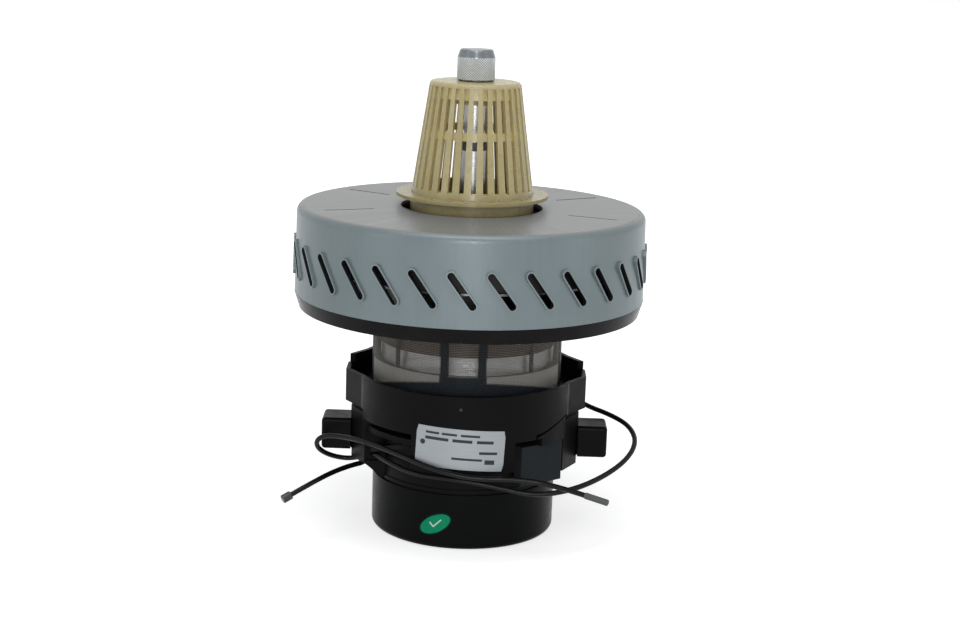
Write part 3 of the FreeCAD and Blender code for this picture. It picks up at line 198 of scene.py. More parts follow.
def pale_floor():
    mesh = bpy.data.meshes.new("floor")
    mesh.from_pydata([(-6, -4, 0), (6, -4, 0), (6, 8, 0), (-6, 8, 0)], [], [(0, 1, 2, 3)])
    floor = bpy.data.objects.new("floor", mesh)
    material = bpy.data.materials.new("pale_floor")
    material.use_nodes = True
    nodes, links = material.node_tree.nodes, material.node_tree.links
    nodes.clear()
    matt = nodes.new("ShaderNodeBsdfDiffuse")
    matt.inputs["Color"].default_value = (0.86, 0.86, 0.86, 1)
    lift = nodes.new("ShaderNodeEmission")
    place = nodes.new("ShaderNodeTexCoord").outputs["Object"]
    distance = nodes.new("ShaderNodeVectorMath")
    distance.operation = "LENGTH"
    fade = nodes.new("ShaderNodeMapRange")
    ends = {"From Min": FADE_START, "From Max": FADE_END, "To Min": FLOOR_LIFT, "To Max": 1.0}
    for socket, number in ends.items():
        fade.inputs[socket].default_value = number
    strength = nodes.new("ShaderNodeMath")
    strength.operation = "MULTIPLY"
    both = nodes.new("ShaderNodeAddShader")
    out = nodes.new("ShaderNodeOutputMaterial")
    links.new(place, distance.inputs[0])
    links.new(distance.outputs["Value"], fade.inputs["Value"])
    links.new(seen_directly(nodes, links), strength.inputs[0])
    links.new(fade.outputs["Result"], strength.inputs[1])
    links.new(strength.outputs[0], lift.inputs["Strength"])
    links.new(matt.outputs[0], both.inputs[0])
    links.new(lift.outputs[0], both.inputs[1])
    links.new(both.outputs[0], out.inputs["Surface"])
    mesh.materials.append(material)
    scene.collection.objects.link(floor)


pale_floor()
print("floor lift", FLOOR_LIFT)

# %% [markdown]
# Area lamps make soft edges to every highlight. A broad one above lights the tops, two tall ones at the sides
# draw the can's outline, a narrow one in front makes the upright streak, and a strip picks out the rims.

# %% Lamps
# Each lamp has its place, the point that it faces, its width and height in metres, and its watts.
LAMPS = {
    "lamp_above": ((0.0, -0.25, 1.5), (0, 0, 0.12), (1.2, 1.0), 6.5),
    "lamp_left": ((-1.4, -0.9, 0.5), (0, 0, 0.12), (0.2, 0.9), 1.6),
    "lamp_right": ((1.5, -0.5, 0.35), (0, 0, 0.08), (0.2, 0.8), 1.4),
    "lamp_front": ((0.03, -1.7, 0.56), (0, 0, 0.12), (0.16, 1.05), 9),
    "lamp_strip": ((0.0, -0.3, 1.3), (0, 0, 0.18), (0.6, 0.1), 1.5)}


def soft_lamp(name, place, aim, size, watts):
    data = bpy.data.lights.new(name, "AREA")
    data.shape = "RECTANGLE"
    data.size, data.size_y = size
    data.energy = watts
    lamp = bpy.data.objects.new(name, data)
    lamp.location = place
    direction = Vector(aim) - Vector(place)
    lamp.rotation_euler = direction.to_track_quat("-Z", "Y").to_euler()
    scene.collection.objects.link(lamp)


for lamp_name, lamp in LAMPS.items():
    soft_lamp(lamp_name, *lamp)
scene.view_settings.view_transform = "Standard"
print("lamps", len(LAMPS))

# %% [markdown]
# Every finish starts from the same few parts: a colour that drifts a little, a gloss that drifts with it,
# and a relief at the scale of the real surface. They read Object coordinates, which are metres here, so
# a grain of 0.3 mm is written as 0.0003. Colours are written as a screen shows them, from 0 to 255.

# %% Finish helpers


def screen_colour(red, green, blue):
    """A colour of 0 to 255 as the renderer's linear values."""
    def linear(value):
        value /= 255
        return value / 12.92 if value <= 0.04045 else ((value + 0.055) / 1.055) ** 2.4
    return (linear(red), linear(green), linear(blue), 1)


class Finish:
    """A material under construction, with its shader and its tree at hand."""

    def __init__(self, name, colour, roughness, metallic=0.0):
        self.material = bpy.data.materials.new(name)
        self.material.use_nodes = True
        self.nodes = self.material.node_tree.nodes
        self.links = self.material.node_tree.links
        self.shader = self.nodes["Principled BSDF"]
        self.colour = screen_colour(*colour)
        self.set("Base Color", self.colour)
        self.set("Roughness", roughness)
        self.set("Metallic", metallic)
        self.place = self.nodes.new("ShaderNodeTexCoord").outputs["Object"]
        self.height = None

    def set(self, socket, value):
        self.shader.inputs[socket].default_value = value

    def math(self, operation, first, second=None):
        node = self.nodes.new("ShaderNodeMath")
        node.operation = operation
        for slot, value in enumerate((first, second)):
            if value is None:
                continue
            if isinstance(value, (int, float)):
                node.inputs[slot].default_value = value
            else:
                self.links.new(value, node.inputs[slot])
        return node.outputs[0]

    def span(self, value, low, high, to_low=0.0, to_high=1.0):
        """Maps a value from one range to another, and holds it at the ends."""
        node = self.nodes.new("ShaderNodeMapRange")
        self.links.new(value, node.inputs["Value"])
        ends = {"From Min": low, "From Max": high, "To Min": to_low, "To Max": to_high}
        for socket, number in ends.items():
            node.inputs[socket].default_value = number
        return node.outputs["Result"]

    def axes(self):
        """X, Y, Z, the distance from the shaft and the angle round it."""
        split = self.nodes.new("ShaderNodeSeparateXYZ")
        self.links.new(self.place, split.inputs[0])
        x, y, z = split.outputs
        return x, y, z, self.length_of(x, y), self.math("ARCTAN2", y, x)

    def length_of(self, across, along):
        """The length of the straight line that goes so far across and so far along."""
        squares = [self.math("MULTIPLY", leg, leg) for leg in (across, along)]
        return self.math("SQRT", self.math("ADD", *squares))

    def spots(self, size, detail=2.0, stretch=(1, 1, 1), place=None, seed=0.0):
        """Soft noise whose spots are about size metres wide."""
        mapping = self.nodes.new("ShaderNodeMapping")
        mapping.inputs["Scale"].default_value = stretch
        mapping.inputs["Location"].default_value = (seed, seed * 0.7, -seed)
        self.links.new(place or self.place, mapping.inputs["Vector"])
        noise = self.nodes.new("ShaderNodeTexNoise")
        noise.inputs["Scale"].default_value = 1 / size
        noise.inputs["Detail"].default_value = detail
        self.links.new(mapping.outputs[0], noise.inputs["Vector"])
        return noise.outputs[0]

    def joined_axes(self, x, y, z):
        join = self.nodes.new("ShaderNodeCombineXYZ")
        for slot, value in enumerate((x, y, z)):
            if isinstance(value, (int, float)):
                join.inputs[slot].default_value = value
            else:
                self.links.new(value, join.inputs[slot])
        return join.outputs[0]

    def tint(self, factor, other):
        """Mixes towards another colour where the factor is 1."""
        mix = self.nodes.new("ShaderNodeMix")
        mix.data_type = "RGBA"
        self.links.new(factor, mix.inputs["Factor"])
        base = self.shader.inputs["Base Color"]
        if base.is_linked:
            self.links.new(base.links[0].from_socket, mix.inputs["A"])
        else:
            mix.inputs["A"].default_value = self.colour
        mix.inputs["B"].default_value = screen_colour(*other)
        self.links.new(mix.outputs["Result"], base)

    def gloss(self, factor, low, high):
        """Roughness from low to high as a noise goes over its usual range, which is 0.3 to 0.7."""
        self.links.new(self.span(factor, 0.3, 0.7, low, high), self.shader.inputs["Roughness"])

    def relief(self, factor, depth):
        """Raises the surface by depth metres where the factor is 1."""
        bump = self.nodes.new("ShaderNodeBump")
        bump.inputs["Strength"].default_value = 1.0
        bump.inputs["Distance"].default_value = depth
        self.links.new(factor, bump.inputs["Height"])
        if self.height is not None:
            self.links.new(self.height, bump.inputs["Normal"])
        self.height = bump.outputs[0]
        self.links.new(self.height, self.shader.inputs["Normal"])


def wear(finish, node_names):
    """Puts a finish on CAD nodes through their material slots."""
    for name in node_names:
        for place in solids[name].material_slots:
            place.material = finish.material


print("finish helpers ready")

# %% [markdown]
# The black pieces are moulded in three grades. The cup is polished and shows long soft reflections.
# The brush frame, the collar and the caps have the fine spark-eroded grain of a mould, which breaks up
# the light. The terminal cover, the screen's frame and the fan are a shade paler, from other batches.
# A painted highlight lightens the collar's ears along their corners, so a tint follows the corner's place in
# Y.

# %% Black plastics


def moulded_black(name, colour, roughness, grain, depth, shine=0.06):
    finish = Finish(name, colour, roughness)
    finish.set("Specular IOR Level", shine)
    finish.tint(finish.span(finish.spots(0.012, 3), 0.35, 0.75, 0.0, 0.5), tuple(c + 6 for c in colour))
    finish.gloss(finish.spots(0.006, 3, seed=0.3), roughness - 0.05, roughness + 0.07)
    finish.relief(finish.spots(grain, 2, seed=0.1), depth)
    return finish


EAR_CORNER_X, EAR_CORNER_Y = 0.0545, 0.0240
CORNER_HIGHLIGHT_WIDTH = 0.0006
COLLAR_FOOT = 0.0640

cup_black = moulded_black("cup_black", (9, 10, 11), 0.28, 0.0014, 0.000004, 0.05)
grained_black = moulded_black("grained_black", (11, 11, 12), 0.36, 0.00035, 0.00003)
x, y, z = grained_black.axes()[:3]
calc, span = grained_black.math, grained_black.span
# Painted highlight: a pale tint runs along the upright corners of the collar's ears.
from_corner = calc("ABSOLUTE", calc("SUBTRACT", calc("ABSOLUTE", y), EAR_CORNER_Y))
on_corner = span(from_corner, 0.0002, CORNER_HIGHLIGHT_WIDTH, 0.7, 0.0)
on_ear = span(calc("ABSOLUTE", x), EAR_CORNER_X - 2 * CORNER_HIGHLIGHT_WIDTH, EAR_CORNER_X - CORNER_HIGHLIGHT_WIDTH)
corner_highlight = calc("MULTIPLY", calc("MULTIPLY", on_corner, on_ear), span(z, COLLAR_FOOT, COLLAR_FOOT + 0.002))
grained_black.tint(corner_highlight, (92, 92, 93))
cover_slate = moulded_black("cover_slate", (38, 42, 45), 0.46, 0.0004, 0.00003)
frame_slate = moulded_black("frame_slate", (42, 46, 50), 0.46, 0.0004, 0.00002)
fan_black = moulded_black("fan_black", (24, 24, 25), 0.5, 0.0006, 0.00003)
wear(cup_black, ["bottom_cover"])
wear(grained_black, ["brush_frame", "motor_housing", "brush_cap_left", "brush_cap_right"])
wear(cover_slate, ["terminal_cover"])
wear(frame_slate, ["screen_frame"])
wear(fan_black, ["cooling_fan"])
print("black plastics ready")

# %% [markdown]
# The housing is drawn from sheet steel and sprayed silver grey. Drawing leaves faint upright streaks in
# the wall, and the spray leaves a slight orange peel. The raised lips of the slots are tinted a little paler.
# The top face is tinted a neutral grey, a painted reflection of the pale surround, and the inside is tinted
# near black as painted shade. The radius from the shaft and the height tell these places apart.

# %% Housing paint
WALL_RADIUS = 0.0932
LIP_RADIUS = 0.0943
INSIDE_RADIUS = 0.0926
TOP_THICKNESS = 0.0035

housing_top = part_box("fan_housing")[1][2]
housing_paint = Finish("housing_paint", (117, 129, 132), 0.34, 0.25)
housing_paint.set("Specular IOR Level", 0.25)
z, radius, angle = housing_paint.axes()[2:]
calc, span = housing_paint.math, housing_paint.span
round_wall = housing_paint.joined_axes(calc("MULTIPLY", angle, WALL_RADIUS), calc("MULTIPLY", z, 0.05), 0.0)
streaks = housing_paint.spots(0.0028, 3, place=round_wall)
cloud = housing_paint.spots(0.03, 3, seed=0.2)
housing_paint.tint(span(streaks, 0.35, 0.75, 0.0, 0.35), (129, 140, 143))
housing_paint.tint(span(cloud, 0.4, 0.75, 0.0, 0.35), (106, 118, 121))
housing_paint.gloss(streaks, 0.3, 0.42)
paler_lips = span(radius, LIP_RADIUS, LIP_RADIUS + 0.0006, 0.0, 0.12)
housing_paint.tint(paler_lips, (164, 173, 175))
# Painted reflection: the top face is tinted a neutral grey.
housing_paint.tint(span(z, housing_top - 0.001, housing_top - 0.0002, 0.0, 0.85), (135, 136, 136))
# Painted shade: the wall's inside, below the top sheet, is tinted near black.
within = span(radius, INSIDE_RADIUS - 0.0001, INSIDE_RADIUS, 1.0, 0.0)
under_top = span(z, housing_top - TOP_THICKNESS - 0.0002, housing_top - TOP_THICKNESS, 1.0, 0.0)
housing_paint.tint(calc("MULTIPLY", within, under_top), (22, 22, 23))
print("housing top", round(housing_top, 4))

# %% [markdown]
# Each slot's cut edge lies in the shadow of its lip, and what shows through it is dark. The shader works out
# how far a point lies from the middle line of the nearest slanted slot, and is dark up to the slot's edge.
# The slots' count, turn and slant are the solid's, so the tint falls on the real edges.

# %% Dark slot edges
SLOT_COUNT = 30
SLOT_PITCH = 2 * math.pi / SLOT_COUNT
SLOT_TURN = math.radians(-1.6)
SLOT_DROP, SLOT_HEIGHT, SLOT_SHIFT = 0.0201, 0.0148, 0.00546
SLOT_LENGTH = math.hypot(2 * SLOT_SHIFT, SLOT_HEIGHT)
SLOT_HALF = 0.00175

upright, slant = SLOT_HEIGHT / SLOT_LENGTH, 2 * SLOT_SHIFT / SLOT_LENGTH
turned = calc("ADD", angle, SLOT_PITCH / 2 - SLOT_TURN - math.pi / 2)
slot_angle = calc("SUBTRACT", calc("FLOORED_MODULO", turned, SLOT_PITCH), SLOT_PITCH / 2)
slot_x = calc("MULTIPLY", radius, calc("SINE", slot_angle))
slot_z = calc("SUBTRACT", z, housing_top - SLOT_DROP - SLOT_HEIGHT / 2)
along_slot = calc("SUBTRACT", calc("MULTIPLY", slot_x, slant), calc("MULTIPLY", slot_z, upright))
across_slot = calc("ADD", calc("MULTIPLY", slot_x, upright), calc("MULTIPLY", slot_z, slant))
past_end = calc("MAXIMUM", calc("SUBTRACT", calc("ABSOLUTE", along_slot), SLOT_LENGTH / 2), 0.0)
from_slot = housing_paint.length_of(past_end, across_slot)
housing_paint.tint(span(from_slot, SLOT_HALF + 0.00005, SLOT_HALF + 0.0002, 0.92, 0.0), (16, 16, 17))
housing_paint.relief(housing_paint.spots(0.0016, 2, seed=0.6), 0.000012)
wear(housing_paint, ["fan_housing"])
print("slots", SLOT_COUNT, "of length", round(SLOT_LENGTH, 4))

# %% [markdown]
# The base ring is painted a satin black. Its gloss drifts and a few dull spots break it, as on a piece
# that has been handled.

# %% Base ring
base_gloss = Finish("base_gloss", (20, 20, 20), 0.22)
base_gloss.set("Specular IOR Level", 0.06)
base_gloss.gloss(base_gloss.spots(0.004, 3), 0.18, 0.3)
base_gloss.relief(base_gloss.spots(0.0015, 2), 0.00001)
base_gloss.tint(base_gloss.span(base_gloss.spots(0.01, 3), 0.45, 0.75, 0.0, 0.6), (30, 29, 28))
wear(base_gloss, ["housing_base"])
print("base ring ready")

# %% [markdown]
# The separator is moulded in a cream plastic that lets a little light through, so thin ribs glow at
# their edges. Subsurface scattering does this. The colour drifts slightly, as moulded plastic's does.
# Two tints follow the form: painted light makes the gaps between the ribs and the cone's inside paler, as
# if lit through the plastic, and painted shade darkens the flange and the cone's foot.

# %% Cream plastic
CONE_FOOT_Z, CONE_TOP_Z = 0.1825, 0.2435
FLANGE_TOP_Z, GAP_TOP_Z = 0.1843, 0.2411
CONE_FOOT_RADIUS, CONE_TOP_RADIUS = 0.0329, 0.0241

cream_plastic = Finish("cream_plastic", (184, 172, 128), 0.38)
cream_plastic.set("Specular IOR Level", 0.45)
cream_plastic.set("Subsurface Weight", 0.6)
cream_plastic.set("Subsurface Radius", (1.0, 0.75, 0.35))
cream_plastic.set("Subsurface Scale", 0.003)
cream_plastic.tint(cream_plastic.span(cream_plastic.spots(0.014, 3), 0.35, 0.75, 0.0, 0.6), (172, 160, 112))
cream_plastic.gloss(cream_plastic.spots(0.005, 3), 0.24, 0.34)
cream_plastic.relief(cream_plastic.spots(0.0012, 2), 0.000006)
z, radius = cream_plastic.axes()[2:4]
calc, span = cream_plastic.math, cream_plastic.span
cone_line = span(z, CONE_FOOT_Z, CONE_TOP_Z, CONE_FOOT_RADIUS, CONE_TOP_RADIUS)
recess = calc("SUBTRACT", cone_line, radius)
# Painted light: the recessed gaps and the inside of the cone are tinted paler.
gap_painted_light = calc("MULTIPLY", span(z, CONE_FOOT_Z, CONE_FOOT_Z + 0.0005), span(recess, 0.0002, 0.0009))
gap_painted_light = calc("MULTIPLY", gap_painted_light, span(z, GAP_TOP_Z - 0.0002, GAP_TOP_Z, 1.0, 0.0))
cream_plastic.tint(calc("MULTIPLY", gap_painted_light, 0.8), (198, 182, 126))
# Painted shade darkens the flange and the cone's foot.
cream_plastic.tint(span(z, FLANGE_TOP_Z, FLANGE_TOP_Z + 0.0052, 0.75, 0.0), (148, 138, 99))
wear(cream_plastic, ["separator"])
print("cream plastic ready")

# %% [markdown]
# The metals differ by how they were worked. Turned pieces carry rings and pressed sheet is nearly plain, so
# one helper stretches its noise along the direction of the work. A table then says which pieces are made of
# each metal. The inner shell is the same finish without metal, tinted near black as painted shade for the
# dark inside of the housing.

# %% Metals


def worked_metal(name, colour, roughness, stretch, size=0.002, depth=0.000008, metallic=1.0):
    finish = Finish(name, colour, roughness, metallic)
    marks = finish.spots(size, 3, stretch=stretch)
    finish.tint(finish.span(marks, 0.35, 0.75, 0.0, 0.45), tuple(max(c - 34, 0) for c in colour))
    finish.gloss(marks, roughness - 0.06, roughness + 0.1)
    finish.relief(marks, depth)
    return finish


PRESSED, TURNED, GROUND = (1, 1, 1), (1, 1, 14), (1, 1, 20)
STAGES = ("lower", "upper")
IMPELLERS = [f"{stage}_impeller_{piece}" for stage in STAGES for piece in ("plate", "blades", "cover")]
BEARINGS = [f"{stage}_bearing_{ring}" for stage in STAGES for ring in ("outer", "inner")]
# Each metal has its colour, roughness, how its marks are stretched, their size, and the pieces made of it.
METALS = {
    "nut_aluminium": ((124, 129, 133), 0.24, TURNED, 0.004, ["separator_nut"]),
    "sleeve_aluminium": ((196, 198, 200), 0.3, TURNED, 0.004, ["separator_spacer", "separator_sleeve"]),
    "fan_aluminium": ((180, 182, 184), 0.38, PRESSED, 0.006, ["diffuser"] + IMPELLERS),
    "shaft_steel": ((190, 190, 192), 0.28, GROUND, 0.004, ["rotor_shaft"] + BEARINGS),
    "fastener_steel": ((184, 184, 180), 0.34, PRESSED, 0.0015, [
        "through_bolts", "base_screws", "fan_nut", "fan_spacer", "lower_spacer", "impeller_spacer",
        "separator_washer"]),
    "dark_steel": ((70, 70, 72), 0.42, PRESSED, 0.0015, ["stack_nut"]),
    "commutator_copper": ((204, 130, 86), 0.3, GROUND, 0.003, ["commutator"]),
    "holder_brass": ((206, 178, 104), 0.34, PRESSED, 0.004, ["brush_holder_left", "brush_holder_right"])}

metals = {}
for name, (colour, roughness, stretch, size, pieces) in METALS.items():
    metals[name] = worked_metal(name, colour, roughness, stretch, size)
    wear(metals[name], pieces)
tinned_tip = worked_metal("tinned_tip", (70, 70, 68), 0.36, PRESSED, 0.0012, 0.00002)
# Painted shade: the fan's inner shell is made near black, for the dark inside of the housing.
shell_painted_shade = worked_metal("shell_painted_shade", (18, 18, 19), 0.6, PRESSED, 0.004, 0.00001, 0.0)
wear(tinned_tip, ["short_lead_tip"])
wear(shell_painted_shade, ["fan_shell"])

# Painted shade: the nut's flat top face is tinted darker than the rest of the nut.
nut_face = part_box("separator_nut")[1][2] - 0.0002
nut_height = metals["nut_aluminium"].axes()[2]
top_face_shade = metals["nut_aluminium"].span(nut_height, nut_face, nut_face + 0.0001)
metals["nut_aluminium"].tint(top_face_shade, (112, 116, 119))
print("metals", len(METALS) + 1)

# %% [markdown]
# The cores are stacks of thin sheets and the coils are wound wire. Both show as fine level lines. A saw-tooth
# in height gives them: it lifts the middle of each layer and darkens the joint between two.

# %% Layered metals


def layered_metal(name, colour, roughness, layer, depth):
    finish = worked_metal(name, colour, roughness, (1, 1, 6), 0.003, 0.000005)
    layers = finish.math("PINGPONG", finish.axes()[2], layer / 2)
    shade = finish.span(layers, 0.0, layer / 2)
    finish.relief(shade, depth)
    finish.tint(finish.span(shade, 0.0, 0.35, 0.5, 0.0), tuple(c // 2 for c in colour))
    return finish


core_steel = layered_metal("core_steel", (168, 168, 168), 0.42, 0.0005, 0.00008)
copper_winding = layered_metal("copper_winding", (196, 112, 66), 0.36, 0.0006, 0.0002)
wear(core_steel, ["stator_core", "armature_core"])
wear(copper_winding, ["field_coil_front", "field_coil_back", "armature_winding"])
print("layered metals ready")

# %% [markdown]
# The rest of the finishes are small: the brown bracket behind the screen, the carbon brushes, and the rubber
# and tubing of the leads. They are moulded too, so the helper of the black pieces serves with other colours.

# %% Bracket, carbon and rubber
bracket_brown = moulded_black("bracket_brown", (76, 64, 59), 0.5, 0.0008, 0.00004)
carbon = moulded_black("carbon", (58, 58, 60), 0.6, 0.0005, 0.00004)
lead_rubber = moulded_black("lead_rubber", (16, 16, 17), 0.3, 0.0012, 0.000008, 0.16)
grommet_rubber = moulded_black("grommet_rubber", (18, 18, 19), 0.55, 0.0005, 0.00002)
sleeve_tubing = moulded_black("sleeve_tubing", (96, 98, 99), 0.45, 0.0006, 0.00001)

wear(bracket_brown, ["drive_end_bracket"])
wear(carbon, ["brush_left", "brush_right"])
wear(grommet_rubber, ["rear_grommet", "left_grommet"])
wear(sleeve_tubing, ["long_lead_sleeve"])
for wire in (long_lead, short_lead):
    wire.data.materials.append(lead_rubber.material)
print("leads and brushes coloured")

# %% [markdown]
# Some pieces repeat or follow a rule: the wires of the screen, the turns of the brush springs and the points
# of the knurl. Geometry Nodes make them from a few named numbers. Each tree is built here, given its numbers
# by socket identifier, and run once. Its result is then kept as a plain mesh, because a modifier's instances
# don't survive an export.

# %% Geometry Nodes helpers


class Recipe:
    """A geometry tree with named inputs, and short ways to add and join its nodes."""

    def __init__(self, name):
        self.tree = bpy.data.node_groups.new(name, "GeometryNodeTree")
        self.entry = self.tree.nodes.new("NodeGroupInput")
        self.tree.interface.new_socket("Geometry", in_out="OUTPUT", socket_type="NodeSocketGeometry")
        self.values = {}

    def number(self, name, value, whole=False):
        kind = "NodeSocketInt" if whole else "NodeSocketFloat"
        socket = self.tree.interface.new_socket(name, in_out="INPUT", socket_type=kind)
        self.values[socket.identifier] = value
        return self.entry.outputs[name]

    def add(self, kind, settings=None, **inputs):
        """Adds a node. An input is named by its socket's name, or by i and its number."""
        node = self.tree.nodes.new(kind)
        for name, value in (settings or {}).items():
            setattr(node, name, value)
        for name, value in inputs.items():
            by_number = name[0] == "i" and name[1:].isdigit()
            socket = node.inputs[int(name[1:]) if by_number else name.replace("_", " ")]
            if isinstance(value, bpy.types.NodeSocket):
                self.tree.links.new(value, socket)
            else:
                socket.default_value = value
        return node

    def math(self, operation, first, second=0.0):
        return self.add("ShaderNodeMath", {"operation": operation}, i0=first, i1=second).outputs[0]

    def vector(self, operation, first, second=(0, 0, 0)):
        return self.add("ShaderNodeVectorMath", {"operation": operation}, i0=first, i1=second).outputs[0]

    def scaled(self, vector, factor):
        settings = {"operation": "SCALE"}
        return self.add("ShaderNodeVectorMath", settings, i0=vector, Scale=factor).outputs[0]

    def finish(self, geometry, material):
        """Ends the tree, runs it once and returns a plain mesh object."""
        whole = self.add("GeometryNodeRealizeInstances", Geometry=geometry)
        coloured = self.add("GeometryNodeSetMaterial", Geometry=whole.outputs[0], Material=material)
        out = self.tree.nodes.new("NodeGroupOutput")
        self.tree.links.new(coloured.outputs[0], out.inputs[0])
        carrier = bpy.data.objects.new(self.tree.name, bpy.data.meshes.new(self.tree.name))
        scene.collection.objects.link(carrier)
        modifier = carrier.modifiers.new("recipe", "NODES")
        modifier.node_group = self.tree
        for identifier, value in self.values.items():
            modifier[identifier] = value
        evaluated = carrier.evaluated_get(bpy.context.evaluated_depsgraph_get())
        mesh = bpy.data.meshes.new_from_object(evaluated)
        carrier.modifiers.remove(modifier)
        carrier.data = mesh
        return carrier


print("geometry helpers ready")

# %% [markdown]
# The screen's wire looks dark where the frame's pillars and its lower ring are right behind it, and pale on
# the band under the windows, where the frame's face catches the light. The wires are thin and the pixels
# large, so these tones are tinted onto the wire and the frame by the place round the shaft and the height.

# %% Tones of the screen
SCREEN_RING_TOP = 0.0950
SCREEN_RING_LOW = 0.0921
SCREEN_RING_FALL = 0.30
PILLAR_HALF = math.radians(2.4)
PILLAR_TURN = math.radians(-1.4)
PILLAR_SPREAD = math.radians(11.4)


def quarter_angle(finish):
    """How far round a point lies from the middle of the nearest pair of pillars."""
    return finish.math("PINGPONG", finish.math("SUBTRACT", finish.axes()[4], PILLAR_TURN), math.pi / 4)


def above_ring(finish, below, above):
    """One value below the dark ring's edge and another above. The edge is higher in a pair of pillars."""
    calc = finish.math
    y, z, radius = finish.axes()[1:4]
    fall = calc("MULTIPLY", calc("SUBTRACT", radius, calc("ABSOLUTE", y)), SCREEN_RING_FALL)
    outer_edge = calc("SUBTRACT", SCREEN_RING_LOW, fall)
    between = finish.span(quarter_angle(finish), PILLAR_SPREAD, PILLAR_SPREAD + 0.01, 1.0, 0.0)
    rise = calc("MULTIPLY", between, calc("SUBTRACT", SCREEN_RING_TOP, outer_edge))
    edge = calc("ADD", outer_edge, rise)
    return finish.span(calc("SUBTRACT", z, edge), -0.0006, 0.0006, below, above)


def off_pillars(finish, on, off):
    """One value on the pillars and another between them."""
    from_quarter = quarter_angle(finish)
    wide = finish.math("ABSOLUTE", finish.math("SUBTRACT", from_quarter, PILLAR_SPREAD))
    return finish.span(wide, PILLAR_HALF, PILLAR_HALF * 1.2, on, off)


def pale_band(finish):
    """1 on the band between the dark ring's edge and the windows, and 0 elsewhere."""
    band = finish.math("MULTIPLY", above_ring(finish, 0.0, 1.0), off_pillars(finish, 0.0, 1.0))
    below_windows = finish.span(finish.axes()[2], SCREEN_RING_TOP, SCREEN_RING_TOP + 0.0002, 1.0, 0.0)
    return finish.math("MULTIPLY", band, below_windows)


screen_wire = worked_metal("screen_wire", (132, 130, 124), 0.4, (1, 1, 1), 0.01, 0.000002)
screen_wire.tint(off_pillars(screen_wire, 0.85, 0.0), (40, 38, 37))
screen_wire.tint(above_ring(screen_wire, 1.0, 0.0), (50, 55, 58))
screen_wire.tint(pale_band(screen_wire), (170, 168, 163))
frame_slate.tint(pale_band(frame_slate), (128, 126, 123))
print("screen tones ready")

# %% [markdown]
# The screen is woven from fine steel wire. Each ring wire passes in front of one upright and behind the
# next, so every wire is a zigzag in radius. One recipe makes both kinds: it copies a wire along the other
# direction, then moves each bend in or out, depending on whether its number is odd or even.

# %% Woven screen
UPRIGHTS = 376
RINGS = 47
WIRE_RADIUS = 0.00012
UPRIGHT_RADIUS = 0.00006
WEAVE_DEPTH = 0.0001
PAST_THE_SHEET = 0.0001

screen_low, screen_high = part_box("mesh_screen")
SCREEN_RADIUS = screen_high[0] - WIRE_RADIUS - WEAVE_DEPTH + PAST_THE_SHEET


def weave(name, upright):
    recipe = Recipe(name)
    radius = recipe.number("Radius", SCREEN_RADIUS)
    low = recipe.number("Low", screen_low[2] + WIRE_RADIUS)
    height = recipe.number("Height", screen_high[2] - screen_low[2] - 2 * WIRE_RADIUS)
    uprights = recipe.number("Uprights", UPRIGHTS, whole=True)
    rings = recipe.number("Rings", RINGS, whole=True)
    depth = recipe.number("Depth", -WEAVE_DEPTH if upright else WEAVE_DEPTH)
    thickness = recipe.number("Wire radius", UPRIGHT_RADIUS if upright else WIRE_RADIUS)
    foot = recipe.add("ShaderNodeCombineXYZ", Z=low).outputs[0]
    rise = recipe.add("ShaderNodeCombineXYZ", Z=height).outputs[0]
    circle = recipe.add("GeometryNodeCurvePrimitiveCircle", Resolution=uprights, Radius=radius).outputs[0]
    if upright:
        head = recipe.vector("ADD", foot, rise)
        line = recipe.add("GeometryNodeCurvePrimitiveLine", Start=foot, End=head).outputs[0]
        wire = recipe.add("GeometryNodeResampleCurve", Curve=line, Count=rings).outputs[0]
        spots = recipe.add("GeometryNodeCurveToPoints", {"mode": "EVALUATED"}, Curve=circle).outputs["Points"]
        bends = rings
    else:
        wire = circle
        last = recipe.math("SUBTRACT", rings, 1.0)
        step = recipe.scaled(rise, recipe.math("DIVIDE", 1.0, last))
        spots = recipe.add("GeometryNodeMeshLine", Count=rings, Start_Location=foot, Offset=step).outputs[0]
        bends = uprights
    copies = recipe.add("GeometryNodeInstanceOnPoints", Points=spots, Instance=wire).outputs[0]
    wires = recipe.add("GeometryNodeRealizeInstances", Geometry=copies).outputs[0]
    index = recipe.add("GeometryNodeInputIndex").outputs[0]
    copy = recipe.math("FLOOR", recipe.math("DIVIDE", index, bends))
    bend = recipe.math("SUBTRACT", index, recipe.math("MULTIPLY", copy, bends))
    odd = recipe.math("MODULO", recipe.math("ADD", copy, bend), 2.0)
    side = recipe.math("SUBTRACT", recipe.math("MULTIPLY", recipe.math("ROUND", odd), 2.0), 1.0)
    here = recipe.add("GeometryNodeInputPosition").outputs[0]
    outward = recipe.vector("NORMALIZE", recipe.vector("MULTIPLY", here, (1, 1, 0)))
    shift = recipe.scaled(outward, recipe.math("MULTIPLY", side, depth))
    bent = recipe.add("GeometryNodeSetPosition", Geometry=wires, Offset=shift).outputs[0]
    section = recipe.add("GeometryNodeCurvePrimitiveCircle", Resolution=3, Radius=thickness).outputs[0]
    tube = recipe.add("GeometryNodeCurveToMesh", Curve=bent, Profile_Curve=section).outputs[0]
    return recipe.finish(tube, screen_wire.material)


ring_wires = weave("screen_ring_wires", upright=False)
upright_wires = weave("screen_upright_wires", upright=True)
for wires in (ring_wires, upright_wires):
    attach(wires, "motor_frame")
    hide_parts("mesh_screen")
    print(wires.name, len(wires.data.polygons), "faces")

# %% [markdown]
# Behind each carbon brush a coil spring presses it on the commutator. The solids hold a plain sleeve in its
# place. The recipe turns a spiral round the X axis and gives it a round wire. The spring stays on the frame.

# %% Brush springs
SPRING_TURNS = 12
SPRING_WIRE = 0.0004

spring_wire = worked_metal("spring_wire", (180, 180, 182), 0.3, (1, 1, 1), 0.003)


